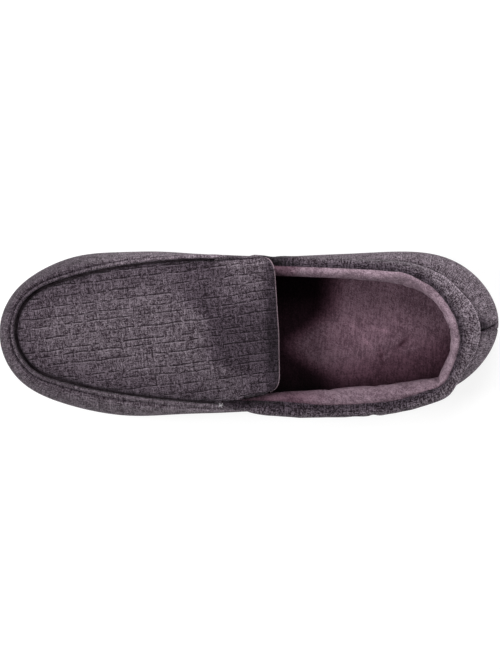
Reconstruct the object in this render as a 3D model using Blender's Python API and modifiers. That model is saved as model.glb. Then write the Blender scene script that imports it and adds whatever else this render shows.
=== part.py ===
"""A left moccasin slipper: outsole, insole, hollow upper, apron with its tongue flap, and padded cuff.

The toe points to -X and the heel to +X, the big toe's side is +Y, and +Z is up.
The outsole stands on the plane z = 0, with the origin under the middle of the shoe.
Sizes are millimetres, and MM turns them into metres where a mesh is made.
"""

from collections import namedtuple
from math import radians

import bmesh
import bpy
import numpy as np

MM = 0.001
COLLECTION = "moccasin_slipper"
FRAME = "slipper_frame"

# Driving dimensions
LENGTH = 280.0
BALL_WIDTH = 92.6
WALL = 3.0
APRON_THICK = 2.2
VAMP_THICK = 2.0
INSOLE_THICK = 4.0
FOREFOOT_THICK = 9.0
HEEL_THICK = 13.0
CUFF_RISE = 17.0
SEAT_GAP = 0.35

# Sections round the shoe, from the heel along the big toe's side to the toe and back.
# along: from the toe tip, of LENGTH. side: from the middle, of half BALL_WIDTH.
# foot: how far the wall's lower edge lies inside its widest line, which is rise above that edge.
# edge_in, edge_up: the wall's upper edge, inside the widest line and above the floor.
# shoulder: how high the wall stays upright before it turns in, of its upper part. cuff: padding.
THROAT_ALONG = 0.43
Section = namedtuple("Section", "place along side foot rise edge_in edge_up shoulder cuff")
SECTIONS = (
    Section("heel centre", 1.000, 0.151, 5.0, 11.0, 11.0, 45.0, 0.50, 16.0),
    Section("inner heel corner", 0.954, 0.702, 5.0, 11.0, 9.8, 43.5, 0.50, 14.0),
    Section("inner heel side", 0.871, 0.968, 5.0, 11.0, 7.0, 39.5, 0.50, 12.5),
    Section("inner heel breast", 0.757, 0.994, 6.0, 11.0, 4.2, 36.0, 0.50, 11.5),
    Section("inner waist", 0.571, 0.950, 8.0, 12.0, 0.6, 36.5, 0.55, 11.0),
    Section("inner throat", THROAT_ALONG, 0.962, 7.0, 12.0, -1.4, 48.5, 0.60, 11.0),
    Section("inner ball", 0.279, 0.996, 5.0, 11.0, 3.0, 45.0, 0.75, 11.0),
    Section("inner toe shoulder", 0.129, 0.892, 4.5, 10.0, 6.9, 39.5, 0.80, 11.0),
    Section("inner toe corner", 0.039, 0.572, 4.5, 9.5, 5.2, 37.5, 0.80, 11.0),
    Section("toe tip", 0.000, 0.006, 5.0, 9.0, 6.5, 37.0, 0.80, 11.0),
    Section("outer toe corner", 0.039, -0.555, 4.5, 9.5, 8.1, 37.5, 0.80, 11.0),
    Section("outer toe shoulder", 0.129, -0.855, 4.5, 10.0, 10.9, 39.5, 0.80, 11.0),
    Section("outer ball", 0.321, -1.002, 4.5, 11.0, 9.2, 46.0, 0.75, 12.0),
    Section("outer throat", THROAT_ALONG, -0.957, 5.5, 12.0, 4.8, 48.5, 0.65, 13.0),
    Section("outer waist", 0.571, -0.937, 6.0, 12.0, 1.2, 36.5, 0.55, 15.0),
    Section("outer heel breast", 0.757, -0.896, 5.5, 11.0, -1.6, 36.0, 0.50, 15.5),
    Section("outer heel side", 0.871, -0.745, 5.0, 11.0, 0.4, 39.5, 0.50, 12.5),
    Section("outer heel corner", 0.954, -0.443, 5.0, 11.0, 7.2, 43.5, 0.50, 11.0),
)
THROAT = (THROAT_ALONG - 0.5) * LENGTH

# Columns of points round the shoe: steps from toe to throat, stations just behind it, steps to the heel.
TOE_STEPS = 18
THROAT_STATIONS = (4.0, 8.0, 13.0, 19.0, 26.0, 34.0)
HEEL_STEPS = 16

# The spine is the line that every section faces: it stops short of the toe and the heel.
SPINE_SIDE = 3.0
SPINE_TOE = -100.0
SPINE_HEEL = 94.0
SPINE_SOFTNESS = 8.0
SPINE_STEP = 0.5

# How finely the widest line is searched, and the digits to which points count as one place.
TURN_SAMPLES = 4000
WELD_DIGITS = 4

# Rows of points up the wall, and how the wall leaves the outsole.
LOWER_SHARES = np.linspace(0, 1, 4)
UPPER_SHARES = np.linspace(0, 1, 7)[1:]
LOWER_PULL = 0.45

# Raised seam between wall and apron: steps inwards from the wall's edge, and heights above it.
SeamStep = namedtuple("SeamStep", "inwards up")
SEAM = (SeamStep(0.5, 1.0), SeamStep(1.3, 1.4), SeamStep(2.1, 0.9), SeamStep(2.5, -1.0))
SEAM_WIDTH = 2.6
SEAM_GROOVE = 1.4
SEAM_DROP = 3.6
THROAT_RUN = 8.0

# Apron and vamp: the crest along the spine, and the slope that the gap between them allows for.
Crest = namedtuple("Crest", "x height")
CREST = (Crest(-104.0, 43.0), Crest(-62.0, 49.5), Crest(-20.0, 60.0), Crest(18.0, 58.5))
APRON_EDGE_UP = 0.2
DOME_SLOPE = 1.15
VAMP_EDGE = 3.8
VAMP_SHARES = (0.0, 0.25, 0.5, 0.75, 1.0)
APRON_SHARES = (0.0, 0.05, 0.14, 0.3, 0.5, 0.75, 1.0)

# Tongue flap: the end of the apron that lies free over the cuff.
FLAP_END = 16.4
FlapCorner = namedtuple("FlapCorner", "end side")
INNER_CORNER = FlapCorner(15.0, 44.5)
OUTER_CORNER = FlapCorner(16.9, -32.0)
FLAP_CORNER_LONG = 5.0
FLAP_CORNER_WIDE = 9.0
FLAP_EDGE_UP = 57.6
FLAP_LIP = 3.0
FLAP_LIP_FROM = 0.62
FLAP_LIP_SIDE = 0.8
FLAP_STEPS = 8

# Cuff: its profile as shares of padding (inwards) and rise (upwards), and its tail on the wall inside.
CUFF_COLUMN = 2
CUFF_RUN = 28.0
CUFF_LOW = 0.12
CUFF_SLIM = 5.6
CuffPoint = namedtuple("CuffPoint", "inwards up")
CUFF_ROLL = (
    CuffPoint(-0.09, 0.30), CuffPoint(-0.08, 0.58), CuffPoint(0.06, 0.85), CuffPoint(0.28, 0.98),
    CuffPoint(0.52, 1.00), CuffPoint(0.78, 0.88), CuffPoint(0.96, 0.64), CuffPoint(1.00, 0.34),
    CuffPoint(0.92, 0.06), CuffPoint(0.70, -0.18),
)
CUFF_TAIL_SHARES = (0.6, 0.4, 0.2)
CUFF_SEAT_SHARES = (0.2, 0.4, 0.6, 0.8)
CUFF_TAIL = 1.6
CUFF_TAIL_GAP = 0.6

# Insole: rows up its rim, which follows the wall inside, and rows over its top and underside.
INSOLE_GAP = 0.75
INSOLE_LIFT = 0.55
INSOLE_RIM = (0.0, 0.22, 0.42)
INSOLE_SHARES = (0.0, 0.2, 0.6, 1.0)

# Outsole: toe spring, arch and heel bevel of its underside, the steps of its side, and its tread.
TOE_SPRING = 9.0
SPRING_FROM = 0.24
TOE_THICK = 6.8
ARCH_RISE = 2.0
ARCH_FROM, ARCH_TO = 0.40, 0.62
HEEL_BEVEL = 1.2
BEVEL_FROM = 0.95
SOLE_STEPS = 28
SoleStep = namedtuple("SoleStep", "outwards up")
SOLE_SIDE = (
    SoleStep(0.6, 1.00), SoleStep(1.3, 0.90), SoleStep(1.3, 0.64), SoleStep(0.4, 0.56),
    SoleStep(1.1, 0.46), SoleStep(0.9, 0.24), SoleStep(-0.4, 0.00),
)
SOLE_TOP_SHARES = (1.0, 0.67, 0.33)
SOLE_UNDER_SHARES = (0.5, 1.0)
Tread = namedtuple("Tread", "first last count")
TREADS = (Tread(-84.0, -34.0, 6), Tread(42.0, 82.0, 5))
TREAD_WIDTH = 3.0
TREAD_DEPTH = 1.4
TREAD_DRAFT = 0.6
TREAD_CLEAR = 1.5

# Colours as linear red, green and blue, and how rough each piece is.
HEATHER = (0.105, 0.083, 0.100)
CUFF_HEATHER = (0.070, 0.055, 0.068)
MAUVE = (0.110, 0.070, 0.088)
SOLE_GREY = (0.030, 0.028, 0.030)
CLOTH_ROUGH = 0.9
RUBBER_ROUGH = 0.6
SHARP_ANGLE = radians(50)


def smooth_step(share):
    """0 to 1 with a level start and end."""
    share = np.clip(share, 0.0, 1.0)
    return share * share * (3.0 - 2.0 * share)


def bezier(start, pull, end, share):
    """Quadratic curve from start to end that leans towards pull."""
    return (1 - share) ** 2 * start + 2 * share * (1 - share) * pull + share**2 * end


def closed_spline(knots, rows, turn):
    """Smooth closed cubic through rows at knots, read at turn. The last knot is one full turn."""
    gap = np.diff(knots)
    count = len(gap)
    step = (np.roll(rows, -1, axis=0) - rows) / gap[:, None]
    system = np.zeros((count, count))
    for i in range(count):
        system[i, i - 1] += gap[i - 1]
        system[i, i] += 2 * (gap[i - 1] + gap[i])
        system[i, (i + 1) % count] += gap[i]
    bend = np.linalg.solve(system, 6 * (step - np.roll(step, 1, axis=0)))
    turn = np.mod(turn, knots[-1])
    left = np.clip(np.searchsorted(knots, turn, side="right") - 1, 0, count - 1)
    right = (left + 1) % count
    width = gap[left][:, None]
    ahead = (turn - knots[left])[:, None] / width
    behind = 1 - ahead
    curve = (behind**3 - behind) * bend[left] + (ahead**3 - ahead) * bend[right]
    return behind * rows[left] + ahead * rows[right] + curve * width**2 / 6


def section_rows():
    """The section table as numbers: x, y, then its other columns."""
    return np.array([
        [(s.along - 0.5) * LENGTH, s.side * BALL_WIDTH / 2, *s[3:]] for s in SECTIONS
    ])


ROWS = section_rows()
CHORDS = np.linalg.norm(np.diff(ROWS[:, :2], axis=0, append=ROWS[:1, :2]), axis=1)
KNOTS = np.concatenate([[0.0], np.cumsum(CHORDS)])

Ring = namedtuple("Ring", "place inward spine foot rise edge_in edge_up shoulder cuff")


def spine_x(x):
    """x held softly between the two ends of the spine, in whole steps so that crowded points meet."""
    past_toe = np.logaddexp(0, (SPINE_TOE - x) / SPINE_SOFTNESS) * SPINE_SOFTNESS
    past_heel = np.logaddexp(0, (x - SPINE_HEEL) / SPINE_SOFTNESS) * SPINE_SOFTNESS
    return np.round((x + past_toe - past_heel) / SPINE_STEP) * SPINE_STEP


def turn_at(x, inner_side):
    """Where round the shoe its widest line passes x, on the big toe's side or the other."""
    turn = np.linspace(0.0, KNOTS[-1], TURN_SAMPLES)
    line = closed_spline(KNOTS, ROWS, turn)[:, 0]
    tip = int(np.argmin(line))
    if inner_side:
        return np.interp(x, np.maximum.accumulate(line[tip::-1]), turn[tip::-1])
    return np.interp(x, np.maximum.accumulate(line[tip:]), turn[tip:])


def ring_at(stations):
    """The section columns at stations from toe to heel on the big toe's side, then back on the other."""
    turn = np.concatenate([turn_at(stations, True), turn_at(stations, False)[-2:0:-1]])
    values = closed_spline(KNOTS, ROWS, turn)
    place = values[:, :2]
    along = np.concatenate([stations, stations[-2:0:-1]])
    spine = np.stack([spine_x(along), np.full(len(along), SPINE_SIDE)], axis=1)
    inward = spine - place
    inward = inward / np.linalg.norm(inward, axis=1, keepdims=True)
    return Ring(place, inward, spine, *values[:, 2:].T)


def part_of(ring, picks):
    """Some columns of a ring."""
    return Ring(*(column[picks] for column in ring))


def shoe_stations():
    """Stations from toe tip to heel: closer where the shoe turns round, and behind the throat."""
    toe_quarter = np.linspace(0, np.pi / 2, TOE_STEPS + 1)
    front = THROAT - (THROAT + LENGTH / 2) * np.cos(toe_quarter)
    behind = THROAT + np.array(THROAT_STATIONS)
    heel_quarter = np.linspace(0, np.pi / 2, HEEL_STEPS + 1)[1:]
    back = behind[-1] + (LENGTH / 2 - behind[-1]) * np.sin(heel_quarter)
    return np.concatenate([front, behind, back])


RING = ring_at(shoe_stations())
FRONT = np.arange(TOE_STEPS, -TOE_STEPS - 1, -1)
CUFFED = np.arange(TOE_STEPS + CUFF_COLUMN, len(RING.foot) - TOE_STEPS - CUFF_COLUMN + 1)


def point_on(ring, depth, height):
    """Points that lie depth inside the widest line, at height."""
    level = ring.place + ring.inward * np.reshape(depth, (-1, 1))
    return np.column_stack([level, np.broadcast_to(height, len(level))])


def sole_under(x):
    """Height of the outsole's underside: toe spring, arch and heel bevel."""
    along = x / LENGTH + 0.5
    spring = np.clip((SPRING_FROM - along) / SPRING_FROM, 0, None) ** 2 * TOE_SPRING
    arch = np.sin(np.pi * np.clip((along - ARCH_FROM) / (ARCH_TO - ARCH_FROM), 0, 1)) ** 2 * ARCH_RISE
    bevel = np.clip((along - BEVEL_FROM) / (1 - BEVEL_FROM), 0, None) ** 2 * HEEL_BEVEL
    return spring + arch + bevel


def sole_top(x):
    """Height of the outsole's upper face: its underside and its thickness."""
    along = x / LENGTH + 0.5
    heel = smooth_step((along - ARCH_FROM) / (ARCH_TO - ARCH_FROM)) * (HEEL_THICK - FOREFOOT_THICK)
    toe = np.clip((SPRING_FROM - along) / SPRING_FROM, 0, 1) * (FOREFOOT_THICK - TOE_THICK)
    return sole_under(x) + FOREFOOT_THICK + heel - toe


def seat_height(ring, depth):
    """Height at that depth of what sits on the outsole."""
    return sole_top(point_on(ring, depth, 0.0)[:, 0]) + SEAT_GAP


def lower_rows(ring, inset, shares):
    """Rows of the wall from the outsole to its widest line, where it stands upright."""
    low = seat_height(ring, ring.foot + inset)
    wide = seat_height(ring, ring.foot) + ring.rise
    pull = low + LOWER_PULL * (wide - low)
    rows = []
    for share in shares:
        depth = bezier(ring.foot, 0.0, 0.0, share) + inset
        rows.append(point_on(ring, depth, bezier(low, pull, wide, share)))
    return rows


def upper_rows(ring, inset, end_depth, end_height, shares):
    """Rows of the wall from its widest line to its upper edge, turning in on the way."""
    wide = seat_height(ring, ring.foot) + ring.rise
    pull = wide + ring.shoulder * (end_height - wide)
    rows = []
    for share in shares:
        depth = bezier(inset, inset, end_depth, share)
        rows.append(point_on(ring, depth, bezier(wide, pull, end_height, share)))
    return rows


def inner_edge(ring):
    """Depth and height of the inner face's upper edge: square to the wall in front, level behind."""
    front = smooth_step(1 - (ring.place[:, 0] - THROAT) / THROAT_RUN)
    wide = seat_height(ring, ring.foot) + ring.rise
    up = (1 - ring.shoulder) * (ring.edge_up - wide)
    square = up / np.hypot(up, ring.edge_in)
    return ring.edge_in + WALL * (1 + front * (square - 1)), ring.edge_up - front * SEAM_DROP


def crest_height(x):
    """Height of the apron along the spine: a smooth curve through CREST."""
    stations, heights = np.array(CREST).T
    slopes = np.gradient(heights, stations)
    left = np.clip(np.searchsorted(stations, x) - 1, 0, len(CREST) - 2)
    width = stations[left + 1] - stations[left]
    share = (x - stations[left]) / width
    rise = heights[left + 1] - heights[left]
    bow_left = slopes[left] * width - rise
    bow_right = rise - slopes[left + 1] * width
    bow = share * (1 - share) * (bow_left * (1 - share) + bow_right * share)
    return heights[left] + rise * share + bow


def dome_rows(edge, spine, shares):
    """Rows from an edge to the spine, rising as a dome that is level at the spine."""
    top = np.column_stack([spine, crest_height(spine[:, 0])])
    rows = []
    for share in shares:
        row = edge + (top - edge) * share
        row[:, 2] = edge[:, 2] + (top[:, 2] - edge[:, 2]) * (1 - (1 - share) ** 2)
        rows.append(row)
    return rows


def strip_faces(rows, closed):
    """Quads between each row of point numbers and the next. Closed rows join their ends."""
    faces = []
    for first, second in zip(rows[:-1], rows[1:]):
        if closed:
            first = np.append(first, first[0])
            second = np.append(second, second[0])
        faces.append(np.stack([first[:-1], first[1:], second[1:], second[:-1]], axis=1))
    return np.concatenate(faces)


def welded(points, faces):
    """Which points to keep where several lie in one place, and the faces between the kept ones."""
    rounded = np.round(points, WELD_DIGITS)
    _, kept, merged = np.unique(rounded, axis=0, return_index=True, return_inverse=True)
    corners = [list(dict.fromkeys(face)) for face in merged.reshape(-1)[faces].tolist()]
    return kept, [face for face in corners if len(face) > 2]


def surface(points, faces):
    """A bmesh surface, in metres."""
    bm = bmesh.new()
    corners = [bm.verts.new(point * MM) for point in points]
    for face in faces:
        bm.faces.new([corners[i] for i in face])
    bm.verts.index_update()
    return bm


def surface_through(rows, closed):
    """A surface through rows of points, welded where they meet."""
    numbers = np.arange(len(rows) * len(rows[0])).reshape(len(rows), -1)
    points = np.concatenate(rows)
    kept, faces = welded(points, strip_faces(numbers, closed))
    return surface(points[kept], faces)


def solid_between(outer, inner, faces):
    """A closed wall: the outer surface, the inner one turned round, and a rim along the open edges."""
    bm = surface(outer, faces)
    skin = list(bm.verts)
    rims = [[vert.index for vert in edge.verts] for edge in bm.edges if edge.is_boundary]
    backs = [bm.verts.new(point * MM) for point in inner]
    for face in faces:
        bm.faces.new([backs[i] for i in reversed(face)])
    for a, b in rims:
        bm.faces.new([skin[a], skin[b], backs[b], backs[a]])
    return bm


def new_object(name, bm, colour, roughness):
    """An object in the slipper's collection, with its own material."""
    bmesh.ops.recalc_face_normals(bm, faces=bm.faces)
    mesh = bpy.data.meshes.new(name)
    bm.to_mesh(mesh)
    bm.free()
    mesh.shade_smooth()
    mesh.set_sharp_from_angle(angle=SHARP_ANGLE)
    material = bpy.data.materials.new(name)
    material.use_nodes = True
    shader = material.node_tree.nodes["Principled BSDF"]
    shader.inputs["Base Color"].default_value = (*colour, 1.0)
    shader.inputs["Roughness"].default_value = roughness
    shader.inputs["Metallic"].default_value = 0.0
    mesh.materials.append(material)
    obj = bpy.data.objects.new(name, mesh)
    bpy.data.collections[COLLECTION].objects.link(obj)
    obj.parent = bpy.data.objects[FRAME]
    return obj


def apron_edge(ring):
    """The apron's edge, inside the raised seam."""
    return point_on(ring, ring.edge_in + SEAM_WIDTH + SEAM_GROOVE, ring.edge_up + APRON_EDGE_UP)


def build_upper():
    """One hollow wall: round toe and heel and over the vamp, open at throat, collar and below."""
    front = part_of(RING, FRONT)
    outer_wall = lower_rows(RING, 0.0, LOWER_SHARES)
    outer_wall += upper_rows(RING, 0.0, RING.edge_in, RING.edge_up, UPPER_SHARES)
    inner_wall = lower_rows(RING, WALL, LOWER_SHARES)
    inner_wall += upper_rows(RING, WALL, *inner_edge(RING), UPPER_SHARES)

    under_apron = np.array((0, 0, (APRON_THICK + SEAT_GAP) * DOME_SLOPE))
    under_vamp = under_apron + (0, 0, VAMP_THICK)
    vamp = dome_rows(apron_edge(front), front.spine, VAMP_SHARES)
    vamp_rim = point_on(front, front.edge_in + SEAM_WIDTH, front.edge_up + APRON_EDGE_UP)
    vamp_top = [row - under_apron for row in [vamp_rim, *vamp]]
    vamp_under = [row - under_vamp for row in vamp]
    vamp_under.insert(0, point_on(front, front.edge_in + VAMP_EDGE, vamp_under[0][:, 2]))

    seam_top = [point_on(front, front.edge_in + step.inwards, front.edge_up + step.up) for step in SEAM]
    wall_top = inner_wall[-1][FRONT]
    shares = np.arange(1, len(SEAM) + 1) / (len(SEAM) + 1)
    seam_under = [wall_top + (vamp_under[0] - wall_top) * share for share in shares]

    outer = np.concatenate(outer_wall + seam_top + vamp_top)
    inner = np.concatenate(inner_wall + seam_under + vamp_under)
    wall_numbers = np.arange(len(outer_wall) * len(RING.foot)).reshape(len(outer_wall), -1)
    front_numbers = np.arange(wall_numbers.size, len(outer)).reshape(-1, len(FRONT))
    front_rows = [wall_numbers[-1][FRONT], *front_numbers]
    faces = np.concatenate([strip_faces(wall_numbers, True), strip_faces(front_rows, False)])
    kept, faces = welded(outer, faces)
    return new_object("upper", solid_between(outer[kept], inner[kept], faces), HEATHER, CLOTH_ROUGH)


def flap_lines(throat_edge, throat_spine, corner):
    """Edge and spine points of the tongue flap on one side, from the throat to its end."""
    run = np.linspace(0, 1, FLAP_STEPS + 1)[1:, None]
    edge = throat_edge[:2] + (np.array(corner) - throat_edge[:2]) * run
    rise = np.sin(run * np.pi / 2) * (FLAP_EDGE_UP - throat_edge[2])
    spine = throat_spine + (np.array((FLAP_END, SPINE_SIDE)) - throat_spine) * run
    return np.column_stack([edge, throat_edge[2] + rise]), spine, run[:, 0]


def build_apron():
    """The apron inside the raised seam, which runs on as the tongue flap over the cuff."""
    front = part_of(RING, FRONT)
    edge = apron_edge(front)
    inner_flap, inner_spine, run = flap_lines(edge[0], front.spine[0], INNER_CORNER)
    outer_flap, outer_spine, run = flap_lines(edge[-1], front.spine[-1], OUTER_CORNER)
    edge = np.concatenate([inner_flap[::-1], edge, outer_flap])
    spine = np.concatenate([inner_spine[::-1], front.spine, outer_spine])
    run = np.concatenate([run[::-1], np.zeros(len(FRONT)), run])

    rows = dome_rows(edge, spine, APRON_SHARES)
    across = np.abs(edge[:, 1] - spine[:, 1])
    for share, row in zip(APRON_SHARES, rows):
        inside = np.clip(1 - share * across / FLAP_CORNER_WIDE, 0, 1)
        row[:, 0] -= run * FLAP_CORNER_LONG * (1 - np.sqrt(1 - inside**2))
        lip = smooth_step((run - FLAP_LIP_FROM) / (1 - FLAP_LIP_FROM)) * smooth_step(share / FLAP_LIP_SIDE)
        row[:, 2] -= FLAP_LIP * lip
    obj = new_object("apron", surface_through(rows, False), HEATHER, CLOTH_ROUGH)
    thicken = obj.modifiers.new("Cloth thickness", "SOLIDIFY")
    thicken.thickness = APRON_THICK * MM
    thicken.offset = -1.0
    return obj


def build_cuff():
    """The padded roll on the wall's upper edge, with a tail that hugs the wall inside."""
    ring = part_of(RING, CUFFED)
    start = ring.place[[0, -1], 0].max()
    grown = smooth_step((ring.place[:, 0] - start) / CUFF_RUN)
    padding = CUFF_SLIM + (ring.cuff - CUFF_SLIM) * grown
    rise = CUFF_RISE * (CUFF_LOW + (1 - CUFF_LOW) * grown)
    seat = ring.edge_up + SEAT_GAP
    inner_depth, inner_height = inner_edge(ring)
    wall_side = WALL + CUFF_TAIL_GAP
    foot_side = wall_side + CUFF_TAIL

    profile = [point_on(ring, ring.edge_in, seat)]
    for point in CUFF_ROLL:
        inwards = point.inwards * padding
        if point.up < CUFF_ROLL[0].up and point.inwards > 0:
            inwards = np.maximum(inwards, foot_side)
        profile.append(point_on(ring, ring.edge_in + inwards, seat + point.up * rise))
    profile += upper_rows(ring, foot_side, inner_depth + foot_side - WALL, inner_height, CUFF_TAIL_SHARES)
    profile += upper_rows(ring, wall_side, inner_depth + CUFF_TAIL_GAP, inner_height, CUFF_SEAT_SHARES)
    profile.append(point_on(ring, inner_depth + CUFF_TAIL_GAP, seat))

    loops = np.stack(profile, axis=1)
    numbers = np.arange(loops.shape[0] * loops.shape[1]).reshape(loops.shape[:2])
    faces = [*strip_faces(numbers, True).tolist(), numbers[0].tolist(), numbers[-1].tolist()]
    return new_object("cuff", surface(loops.reshape(-1, 3), faces), CUFF_HEATHER, CLOTH_ROUGH)


def build_insole():
    """The padded sock on the outsole: its rim follows the wall inside, and its top is level across."""
    rim = lower_rows(RING, WALL + INSOLE_GAP, INSOLE_RIM)
    rim = [row + (0, 0, INSOLE_LIFT - SEAT_GAP) for row in rim]
    under = []
    top = []
    for share in INSOLE_SHARES[1:]:
        level = rim[0][:, :2] + (RING.spine - rim[0][:, :2]) * share
        under.append(np.column_stack([level, sole_top(level[:, 0]) + INSOLE_LIFT]))
        level = rim[-1][:, :2] + (RING.spine - rim[-1][:, :2]) * share
        top.append(np.column_stack([level, sole_top(level[:, 0]) + INSOLE_LIFT + INSOLE_THICK]))
    rows = under[::-1] + rim + top
    return new_object("insole", surface_through(rows, True), MAUVE, CLOTH_ROUGH)


def tread_stations():
    """Stations of the cross grooves' lips and floors."""
    centres = np.concatenate([np.linspace(t.first, t.last, t.count) for t in TREADS])
    floor = TREAD_WIDTH / 2
    lip = floor + TREAD_DRAFT
    return centres, np.sort(np.concatenate([centres + step for step in (-lip, -floor, floor, lip)]))


def build_outsole():
    """The moulded sole: stepped side, flat tread with cross grooves, and level top across."""
    centres, grooves = tread_stations()
    plain = -LENGTH / 2 * np.cos(np.linspace(0, np.pi, SOLE_STEPS + 1))
    nearest = np.abs(plain[:, None] - centres).min(axis=1)
    plain = plain[nearest > TREAD_WIDTH / 2 + TREAD_DRAFT + TREAD_CLEAR]
    stations = np.sort(np.concatenate([plain, grooves]))
    ring = ring_at(stations)
    nearest = np.abs(stations[:, None] - centres).min(axis=1)
    cut = np.clip((TREAD_WIDTH / 2 + TREAD_DRAFT - nearest) / TREAD_DRAFT, 0, 1) * TREAD_DEPTH
    cut = np.concatenate([cut, cut[-2:0:-1]])

    side = []
    for step in SOLE_SIDE:
        row = point_on(ring, ring.foot - step.outwards, 0.0)
        low = sole_under(row[:, 0])
        row[:, 2] = low + (sole_top(row[:, 0]) - low) * step.up
        side.append(row)
    side[-1][:, 2] += cut
    top = []
    for share in SOLE_TOP_SHARES:
        level = side[0][:, :2] + (ring.spine - side[0][:, :2]) * share
        top.append(np.column_stack([level, sole_top(level[:, 0])]))
    under = []
    for share in SOLE_UNDER_SHARES:
        level = side[-1][:, :2] + (ring.spine - side[-1][:, :2]) * share
        under.append(np.column_stack([level, sole_under(level[:, 0]) + cut]))
    return new_object("outsole", surface_through(top + side + under, True), SOLE_GREY, RUBBER_ROUGH)


def main():
    for obj in list(bpy.data.objects):
        bpy.data.objects.remove(obj)
    collection = bpy.data.collections.new(COLLECTION)
    bpy.context.scene.collection.children.link(collection)
    collection.objects.link(bpy.data.objects.new(FRAME, None))
    build_outsole()
    build_insole()
    build_upper()
    build_apron()
    build_cuff()


main()
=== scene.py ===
"""The looks of a left moccasin slipper: heather cloth, a padded cuff, mauve linings and a moulded sole.

The toe points to -X and the heel to +X, the big toe's side is +Y, and +Z is up.
Sizes are millimetres, and MM turns them into metres where a mesh is made.
"""

from collections import namedtuple
from math import radians

import bpy
import numpy as np
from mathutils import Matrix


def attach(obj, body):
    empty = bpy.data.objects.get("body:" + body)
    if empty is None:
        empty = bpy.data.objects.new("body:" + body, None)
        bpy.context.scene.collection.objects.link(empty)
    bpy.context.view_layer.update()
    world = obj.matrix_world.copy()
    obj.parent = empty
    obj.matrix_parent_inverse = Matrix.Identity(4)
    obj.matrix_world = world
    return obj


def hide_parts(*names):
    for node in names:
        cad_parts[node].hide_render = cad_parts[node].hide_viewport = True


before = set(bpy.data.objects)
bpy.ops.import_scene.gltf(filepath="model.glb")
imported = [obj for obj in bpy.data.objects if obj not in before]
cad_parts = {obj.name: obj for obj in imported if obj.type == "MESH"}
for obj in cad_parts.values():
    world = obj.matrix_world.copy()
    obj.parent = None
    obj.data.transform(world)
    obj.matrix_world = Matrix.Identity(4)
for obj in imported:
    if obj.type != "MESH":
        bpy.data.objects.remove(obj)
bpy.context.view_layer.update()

MM = 0.001

# Rows that name the numbers below.
# Span: a measure, from where something starts to where it is full. It may run downwards.
# Hump: the middle and the width of a bell. Spot: a place seen from above, and its reach.
# Wave: soft unevenness, with its seed. Grain: noise in a cloth, and the part of it that is used.
# Dash: broken lines in a cloth.
Span = namedtuple("Span", "start end")
Hump = namedtuple("Hump", "middle width")
Spot = namedtuple("Spot", "x y reach")
Wave = namedtuple("Wave", "height size seed")
Grain = namedtuple("Grain", "size detail low high")
Dash = namedtuple("Dash", "pitch thick run share seed")

# A distance past every edge, and how a wave's sines are drawn and softened
FAR = 99.0
RIPPLE_SWINGS = 7
RIPPLE_PITCHES = (0.7, 1.6)
RIPPLE_SOFTER = 4.0

# Driving dimensions, as in the part's source
LENGTH = 280.0
BALL_WIDTH = 92.6
WALL = 3.0
APRON_THICK = 2.2
VAMP_THICK = 2.0
INSOLE_THICK = 4.0
FOREFOOT_THICK = 9.0
HEEL_THICK = 13.0
CUFF_RISE = 17.0
SEAT_GAP = 0.35

# Sections round the shoe, from the heel along the big toe's side to the toe and back.
# along: from the toe tip, of LENGTH. side: from the middle, of half BALL_WIDTH.
# foot: how far the wall's lower edge lies inside its widest line, which is rise above that edge.
# edge_in, edge_up: the wall's upper edge, inside the widest line and above the floor.
# shoulder: how high the wall stays upright before it turns in, of its upper part. cuff: padding.
# The padding, and edge_in at the heel, follow the photo more closely than the part's source does.
THROAT_ALONG = 0.43
Section = namedtuple("Section", "place along side foot rise edge_in edge_up shoulder cuff")
SECTIONS = (
    Section("heel centre", 1.000, 0.151, 5.0, 11.0, 12.2, 45.0, 0.50, 16.0),
    Section("inner heel corner", 0.954, 0.702, 5.0, 11.0, 12.2, 43.5, 0.50, 14.0),
    Section("inner heel side", 0.871, 0.968, 5.0, 11.0, 8.6, 39.5, 0.50, 12.5),
    Section("inner heel breast", 0.757, 0.994, 6.0, 11.0, 4.2, 36.0, 0.50, 10.2),
    Section("inner waist", 0.571, 0.950, 8.0, 12.0, 0.6, 36.5, 0.55, 8.8),
    Section("inner throat", THROAT_ALONG, 0.962, 7.0, 12.0, -1.4, 48.5, 0.60, 9.0),
    Section("inner ball", 0.279, 0.996, 5.0, 11.0, 3.0, 45.0, 0.75, 11.0),
    Section("inner toe shoulder", 0.129, 0.892, 4.5, 10.0, 6.9, 39.5, 0.80, 11.0),
    Section("inner toe corner", 0.039, 0.572, 4.5, 9.5, 5.2, 37.5, 0.80, 11.0),
    Section("toe tip", 0.000, 0.006, 5.0, 9.0, 6.5, 37.0, 0.80, 11.0),
    Section("outer toe corner", 0.039, -0.555, 4.5, 9.5, 8.1, 37.5, 0.80, 11.0),
    Section("outer toe shoulder", 0.129, -0.855, 4.5, 10.0, 10.9, 39.5, 0.80, 11.0),
    Section("outer ball", 0.321, -1.002, 4.5, 11.0, 9.2, 46.0, 0.75, 12.0),
    Section("outer throat", THROAT_ALONG, -0.957, 5.5, 12.0, 4.8, 48.5, 0.65, 9.0),
    Section("outer waist", 0.571, -0.937, 6.0, 12.0, 1.2, 36.5, 0.55, 10.3),
    Section("outer heel breast", 0.757, -0.896, 5.5, 11.0, -1.6, 36.0, 0.50, 15.5),
    Section("outer heel side", 0.871, -0.745, 5.0, 11.0, 0.4, 39.5, 0.50, 12.5),
    Section("outer heel corner", 0.954, -0.443, 5.0, 11.0, 7.7, 43.5, 0.50, 11.0),
)
THROAT = (THROAT_ALONG - 0.5) * LENGTH

# The spine is the line that every section faces: it stops short of the toe and the heel.
SPINE_SIDE = 3.0
SPINE_TOE = -100.0
SPINE_HEEL = 94.0
SPINE_SOFTNESS = 8.0
TURN_SAMPLES = 4000
WELD_DIGITS = 4

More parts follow.
